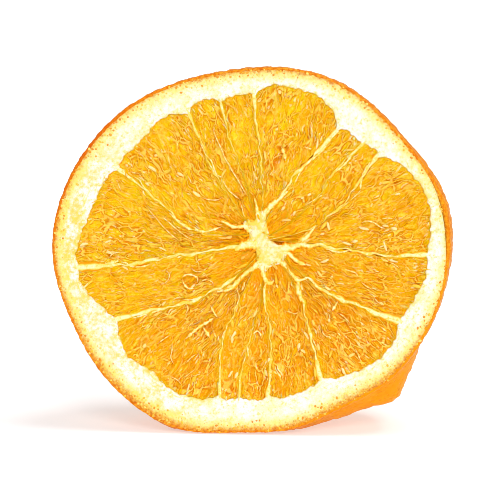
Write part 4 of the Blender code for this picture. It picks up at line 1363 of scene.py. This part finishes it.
def build_segment(i):
    """Segment i as one closed body, with the values that its sacs and its colours read."""
    wall_width = float(segment_width(i, np.array(1.0)))
    length = float(segment_length(i, np.array(0.5)))
    columns, rows = max(6, round(wall_width / FLESH_STEP)), round(length / FLESH_STEP)
    q = np.linspace(0, 1, columns + 1)[None, :] * np.ones((rows + 1, 1))
    p = np.linspace(0, 1, rows + 1)[:, None] * np.ones((1, columns + 1))
    uv, s, r, width = segment_point(i, q, p)
    edge = np.minimum(np.minimum(q, 1 - q) * width, np.minimum(p, 1 - p) * length)
    room, out = np.minimum(1.0, width / NARROW), np.maximum(r, 0)
    sunk = (FLESH_SINK + HOLLOW * np.exp(-out / HOLLOW_REACH)) * room
    depth = EDGE_LIP + membrane_sag(i, r) * (1 - q) + membrane_sag(i + 1, r) * q
    depth = depth + sunk * (1 - np.exp(-edge / MENISCUS))
    across = (s - 0.5) * np.sqrt(width * wall_width)
    faces, loop = segment_faces(rows, columns)
    below = on_face(uv, np.full_like(depth, FLESH_BACK)).reshape(-1, 3)[loop]
    points = stand(np.vstack([on_face(uv, depth).reshape(-1, 3), below]))
    ahead = np.gradient(uv, axis=0)
    ahead = ahead / np.linalg.norm(ahead, axis=-1, keepdims=True)
    lean = math.radians(LEAN)
    way = [ahead[..., 0], ahead[..., 1] * math.sin(lean), ahead[..., 1] * math.cos(lean)]
    way = np.stack(way, axis=-1).reshape(-1, 3)

    def all_over(values, under):
        return np.concatenate([values.ravel(), np.full(len(loop), float(under))])

    return mesh_object(f"segment_{i + 1:02d}", points, faces, {
        "across": all_over(across, 0.0),
        "along": all_over(r * length + FIBRE_SPREAD * across**2 / max(wall_width, 1.0), 0.0),
        "top": all_over(np.clip(edge / EDGE_FADE, 0, 1), 0.0),
        "edge": all_over(edge, 0.0),
        "shaded": all_over(np.exp(-out / SHADED_REACH) + SHADED_NARROW * (1 - room), 1.0),
        "segment": all_over(np.full_like(depth, i), i),
        "fibre": np.vstack([way, np.zeros((len(loop), 3))]),
        "rich": all_over(swell(np.degrees(np.arctan2(uv[..., 1], uv[..., 0])), RICH_SWELLS), RICH_UNDER),
    })


orange_flesh = flesh_material(fibre_detail())
sacs = sac_relief()
segments = []
for i in range(len(MEMBRANES)):
    segment = worked(build_segment(i), sacs, {
        "Sac Width": SAC_WIDTH,
        "Sac Length": SAC_LENGTH,
        "Ridge": SAC_RIDGE,
        "Hollow": SAC_HOLLOW,
        "Waver": SAC_WAVER,
        "Segment": float(i),
        "Material": orange_flesh,
    })
    segments.append(segment)
    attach(segment, "root")
    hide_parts("orange_half")

# ---------------------------------------------------------------------------------------------
# The bottom of the hollows round the core: a low round bed of the same flesh under the tips of
# the segments and the star.

BED_RADIUS, BED_TOP, BED_BACK, BED_COLUMNS = 8.0, 1.25, 2.9, 96
# The rings of the bed: share of its radius, and depth
BED_RINGS = (
    (0.25, BED_TOP), (0.5, BED_TOP), (0.75, BED_TOP), (0.97, BED_TOP), (1.0, BED_TOP + 0.1),
    (1.0, BED_BACK), (0.5, BED_BACK),
)


def build_bed():
    """The bed as a closed disc with a slightly rounded edge."""
    around = BED_RADIUS * turn(np.arange(BED_COLUMNS) * 360.0 / BED_COLUMNS)
    middle = np.array(CORE_MIDDLE)
    rings = [on_face(middle + around * share, np.full(BED_COLUMNS, depth)) for share, depth in BED_RINGS]
    front, back = (on_face(middle[None], np.array([depth])) for depth in (BED_TOP, BED_BACK))
    points = stand(np.vstack([front, *rings, back]))
    last = 1 + (len(rings) - 1) * BED_COLUMNS
    faces = pole_faces(0, 1, BED_COLUMNS, True) + ring_faces(len(rings), BED_COLUMNS, 1)
    faces += pole_faces(len(points) - 1, last, BED_COLUMNS, False)
    ones = np.ones(len(points))
    attributes = {"edge": ones, "shaded": ones, "rich": RICH_UNDER * ones}
    return mesh_object("hollow_bed", points, faces, attributes)


hollow_bed = build_bed()
hollow_bed.data.materials.append(orange_flesh)
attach(hollow_bed, "root")
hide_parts("orange_half")

# ---------------------------------------------------------------------------------------------
# The loose threads: torn skins of juice sacs that lie along the flesh as fine pale strands, long
# ones and short curls, and small plump sacs between them. Geometry Nodes strews each kind over the
# segments.

STRAND_SIDES, STRAND_STEPS, STRAND_TIP = 4, 10, 1.04
SWIRL, SWIRL_SCALE = 0.6, 190.0
LENGTH_BY_EDGE = 0.0025
FARTHEST_FORWARD = 0.0002
NUMBERS = ("Density", "Near Core", "Thickness", "Shortest", "Longest", "From Edge", "Waver", "Waver Size")

LOOSE_GOLD, LOOSE_PALE = (253, 208, 34), (255, 232, 104)
LOOSE_FLANK_SHADE, LOOSE_SHADED = (255, 180, 0), (255, 182, 0)
PLUMP_ORANGE, PLUMP_YELLOW = (250, 176, 6), (253, 204, 70)
PLUMP_PALE, PLUMP_FLANK_SHADE = (255, 226, 160), (250, 164, 0)


def strewn(name, shape, turned, thickness):
    """A tree that strews a shape over all segments, along their fibres: the shape is built from the
    tree and its inputs, and each copy is turned aside and scaled at random."""
    tree, inputs = new_nodes_group(name, NUMBERS)
    joined_up = tree.nodes.new("GeometryNodeJoinGeometry")
    for segment in segments:
        source = node(tree, "GeometryNodeObjectInfo", [("Object", segment)]).outputs["Geometry"]
        tree.links.new(source, joined_up.inputs[0])
    edge, place = attribute(tree, "edge"), position(tree)
    busy = span_of(tree, noise_of(tree, place, BUSY_SCALE, 2.0), 0.4, 0.58, 0.2, 1.2)
    busy = plus(tree, busy, span_of(tree, edge, 1.2, 0.4, 0.0, 1.0))
    busy = times_plus(tree, attribute(tree, "shaded"), inputs["Near Core"], busy)
    scatter = node(tree, "GeometryNodeDistributePointsOnFaces", [
        ("Mesh", joined_up.outputs[0]),
        ("Selection", math_of(tree, "GREATER_THAN", edge, inputs["From Edge"])),
        ("Density", times(tree, inputs["Density"], busy)), ("Seed", 7)])
    swirl = noise_of(tree, place, SWIRL_SCALE, 1.0)
    swirl = span_of(tree, swirl, 0.3, 0.7, -SWIRL, SWIRL, smooth=False)
    swirl = plus(tree, swirl, random_of(tree, -turned, turned, 3))
    fibre = attribute(tree, "fibre", "FLOAT_VECTOR")
    aside = node(tree, "ShaderNodeVectorRotate", [
        ("Vector", fibre), ("Axis", scatter.outputs["Normal"]), ("Angle", swirl)]).outputs[0]
    aimed = node(tree, "FunctionNodeAlignRotationToVector", [("Vector", aside)], axis="Z").outputs[0]
    points = store(tree, scatter.outputs["Points"], "own", random_of(tree, 0.0, 1.0, 5))
    sideways = random_of(tree, *thickness, 11)
    length = random_of(tree, inputs["Shortest"], inputs["Longest"], 17)
    longest = times_plus(tree, edge, LENGTH_BY_EDGE, inputs["Shortest"])
    size = joined(tree, sideways, sideways, math_of(tree, "MINIMUM", length, longest))
    copies = node(tree, "GeometryNodeInstanceOnPoints", [
        ("Points", points), ("Instance", shape(tree, inputs)), ("Rotation", aimed),
        ("Scale", size)]).outputs[0]
    real = node(tree, "GeometryNodeRealizeInstances", [(0, copies)]).outputs[0]
    place = position(tree)
    finer = vector_of(tree, "SCALE", place, divided(tree, 1.0, inputs["Waver Size"]))
    waver = vector_of(tree, "SCALE", waver_of(tree, finer, 1.0), inputs["Waver"])
    place, front = vector_of(tree, "ADD", place, waver), into_fruit(tree, -1.0)
    lean = math.radians(LEAN)
    face = 0.001 * (FACE_Z * math.sin(lean) - FACE_Y * math.cos(lean)) + FARTHEST_FORWARD
    ahead = minus(tree, vector_of(tree, "DOT_PRODUCT", place, front), face)
    ahead = math_of(tree, "MINIMUM", times(tree, ahead, -1.0), 0.0)
    place = vector_of(tree, "ADD", place, vector_of(tree, "SCALE", front, ahead))
    real = placed_above_floor(tree, real, place)
    # How far each point faces out of the cut; the materials paint warm shade on the flanks that face away
    real = store(tree, real, "facing", vector_of(tree, "DOT_PRODUCT", normal(tree), front))
    finish_group(tree, node(tree, "GeometryNodeSetShadeSmooth", [("Geometry", real)]).outputs[0], inputs)
    return tree


def strand(tree, inputs):
    """A thin closed strand one unit long, pointed at both ends."""
    tube = node(tree, "GeometryNodeMeshCylinder", [
        ("Vertices", STRAND_SIDES), ("Side Segments", STRAND_STEPS), ("Radius", inputs["Thickness"]),
        ("Depth", 1.0)]).outputs[0]
    x, y, z = parts_of(tree, position(tree))
    along = times(tree, z, 2.0)
    narrow = math_of(tree, "SQRT", minus(tree, STRAND_TIP, times(tree, along, along)))
    place = joined(tree, times(tree, x, narrow), times(tree, y, narrow), z)
    return node(tree, "GeometryNodeSetPosition", [("Geometry", tube), ("Position", place)]).outputs[0]


def plump_sac(tree, inputs):
    """A small closed sac one unit long."""
    wide = times(tree, inputs["Thickness"], 2.0)
    scaled = [("Geometry", small_ball(tree, 0.5)), ("Scale", joined(tree, wide, wide, 1.0))]
    return node(tree, "GeometryNodeTransform", scaled).outputs[0]


def shade_over(tree):
    """How far a loose piece takes the painted warm shade of the hollows."""
    return span_of(tree, value_at(tree, "shaded"), 0.1, 0.6, 0.0, 0.55)


def thread_material():
    """Dry pale strands, from deep to light yellow, with painted warm shade on their flanks and in the
    hollows.
    """
    made, tree, shader = new_material("pulp_thread")
    own = span_of(tree, value_at(tree, "own"), 0.0, 1.0, smooth=False)
    colour = painted(tree, mix_of(tree, own, LOOSE_GOLD, LOOSE_PALE), (
        (span_of(tree, value_at(tree, "facing"), 0.97, 0.6), LOOSE_FLANK_SHADE),
        (shade_over(tree), LOOSE_SHADED),
    ))
    fill(tree, shader, (("Base Color", colour), ("Roughness", 0.3), ("Specular IOR Level", 0.06)))
    return made


def sac_material():
    """Plump juice sacs: wet and translucent, from orange to a pale pinkish yellow, with painted warm shade
    on their flanks and in the hollows.
    """
    made, tree, shader = new_material("plump_sac")
    own = value_at(tree, "own")
    colour = painted(tree, mix_of(tree, span_of(tree, own, 0.2, 0.5), PLUMP_ORANGE, PLUMP_YELLOW), (
        (span_of(tree, own, 0.6, 1.0), PLUMP_PALE),
        (span_of(tree, value_at(tree, "facing"), 0.75, 0.0), PLUMP_FLANK_SHADE),
        (shade_over(tree), LOOSE_SHADED),
    ))
    fill(tree, shader, (("Base Color", colour), ("Roughness", 0.15), ("Specular IOR Level", 0.12)))
    return made


pulp_thread = thread_material()
# Each kind: its name, shape, most turn aside, thickness range, material, and its NUMBERS
KINDS = (
    ("loose_threads", strand, 0.45, (0.6, 1.5), pulp_thread,
     (0.1e6, 0.0, 0.000075, 0.002, 0.008, 0.2, 0.0018, 0.003)),
    ("curled_threads", strand, 1.4, (0.6, 1.3), pulp_thread,
     (0.12e6, 4.0, 0.00007, 0.0008, 0.0024, 0.1, 0.0012, 0.0011)),
    ("plump_sacs", plump_sac, 0.7, (0.7, 1.4), sac_material(),
     (0.1e6, 1.5, 0.00024, 0.0008, 0.0022, 0.35, 0.0006, 0.0014)),
)
for name, shape, turned, thickness, material, values in KINDS:
    empty = mesh_object(name, np.zeros((0, 3)), [], {})
    group = strewn(name, shape, turned, thickness)
    piece = worked(empty, group, dict(zip(NUMBERS, values), Material=material))
    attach(piece, "root")
    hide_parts("orange_half")

# ---------------------------------------------------------------------------------------------
# The stage: a plain white floor under soft studio light, and the camera in front of the cut face,
# a little to the right and above, with a long lens.

CAMERA_AZIMUTH, CAMERA_ELEVATION, CAMERA_DISTANCE = 5.0, 7.0, 0.5
PHOTO_SIZE, FOCAL_PIXELS = 500.0, 2676.35
FACE_PIXEL_X = 252.0
SENSOR = 36.0
FLOOR_REACH, FLOOR_GREY, FLOOR_GLOW = 6.0, 0.62, 0.5
WORLD_LIGHT = 0.42


def white_world():
    """A white surround: pure white where it is seen, a little softer as light."""
    world = bpy.data.worlds.new("white_surround")
    world.use_nodes = True
    tree = world.node_tree
    background = tree.nodes["Background"]
    background.inputs["Color"].default_value = (1, 1, 1, 1)
    seen = node(tree, "ShaderNodeLightPath").outputs["Is Camera Ray"]
    strength = span_of(tree, seen, 0.0, 1.0, WORLD_LIGHT, 1.0, smooth=False)
    tree.links.new(strength, background.inputs["Strength"])
    bpy.context.scene.world = world


def soft_sun(name, place, spread, strength):
    """A sun with soft shadows, shining from this direction."""
    light = bpy.data.lights.new(name, "SUN")
    light.energy, light.angle = strength, math.radians(spread)
    made = bpy.data.objects.new(name, light)
    made.rotation_euler = (math.acos(place[2] / np.linalg.norm(place)), 0.0, math.atan2(place[0], -place[1]))
    bpy.context.scene.collection.objects.link(made)
    return made


def soft_light(name, place, target, size, power):
    """A square area light that faces a target."""
    light = bpy.data.lights.new(name, "AREA")
    light.size, light.energy = size, power
    made = bpy.data.objects.new(name, light)
    made.location = place
    aim = np.array(target) - np.array(place)
    made.rotation_euler = (math.acos(-aim[2] / np.linalg.norm(aim)), 0.0, math.atan2(-aim[0], aim[1]))
    bpy.context.scene.collection.objects.link(made)
    return made


def build_floor():
    """A wide white floor."""
    corners = [(-1, -1, 0), (1, -1, 0), (1, 1, 0), (-1, 1, 0)]
    floor = mesh_object("floor", np.array(corners) * FLOOR_REACH, [[0, 1, 2, 3]], {})
    made, tree, shader = new_material("white_floor")
    fill(tree, shader, (
        ("Base Color", (FLOOR_GREY, FLOOR_GREY, FLOOR_GREY, 1.0)),
        ("Roughness", 0.9),
        ("Specular IOR Level", 0.1),
        ("Emission Color", (1.0, 1.0, 1.0, 1.0)),
        ("Emission Strength", FLOOR_GLOW),
    ))
    floor.data.materials.append(made)
    return floor


def build_camera():
    """The camera, aimed at the middle of the cut face."""
    target = stand([(0.0, 0.0, 0.0)])[0]
    azimuth, elevation = math.radians(CAMERA_AZIMUTH), math.radians(CAMERA_ELEVATION)
    away = np.array([math.sin(azimuth) * math.cos(elevation), -math.cos(azimuth) * math.cos(elevation),
                     math.sin(elevation)])
    camera = bpy.data.cameras.new("camera")
    camera.sensor_width = SENSOR
    camera.lens = SENSOR * FOCAL_PIXELS / PHOTO_SIZE
    camera.shift_x = (PHOTO_SIZE / 2 - FACE_PIXEL_X) / PHOTO_SIZE
    made = bpy.data.objects.new("camera", camera)
    made.location = target + away * CAMERA_DISTANCE
    made.rotation_euler = (math.pi / 2 - elevation, 0.0, azimuth)
    bpy.context.scene.collection.objects.link(made)
    bpy.context.scene.camera = made


build_floor()
white_world()
soft_sun("key", (0.25, -0.85, 0.45), 20.0, 1.3)
soft_sun("overhead", (0.36, -0.04, 1.0), 30.0, 1.65)
soft_light("front", (-0.1, -0.8, 0.35), (0, 0, 0.03), 0.5, 0.55)
build_camera()
bpy.context.scene.view_settings.view_transform = "Standard"
bpy.context.scene.cycles.filter_width = 0.9
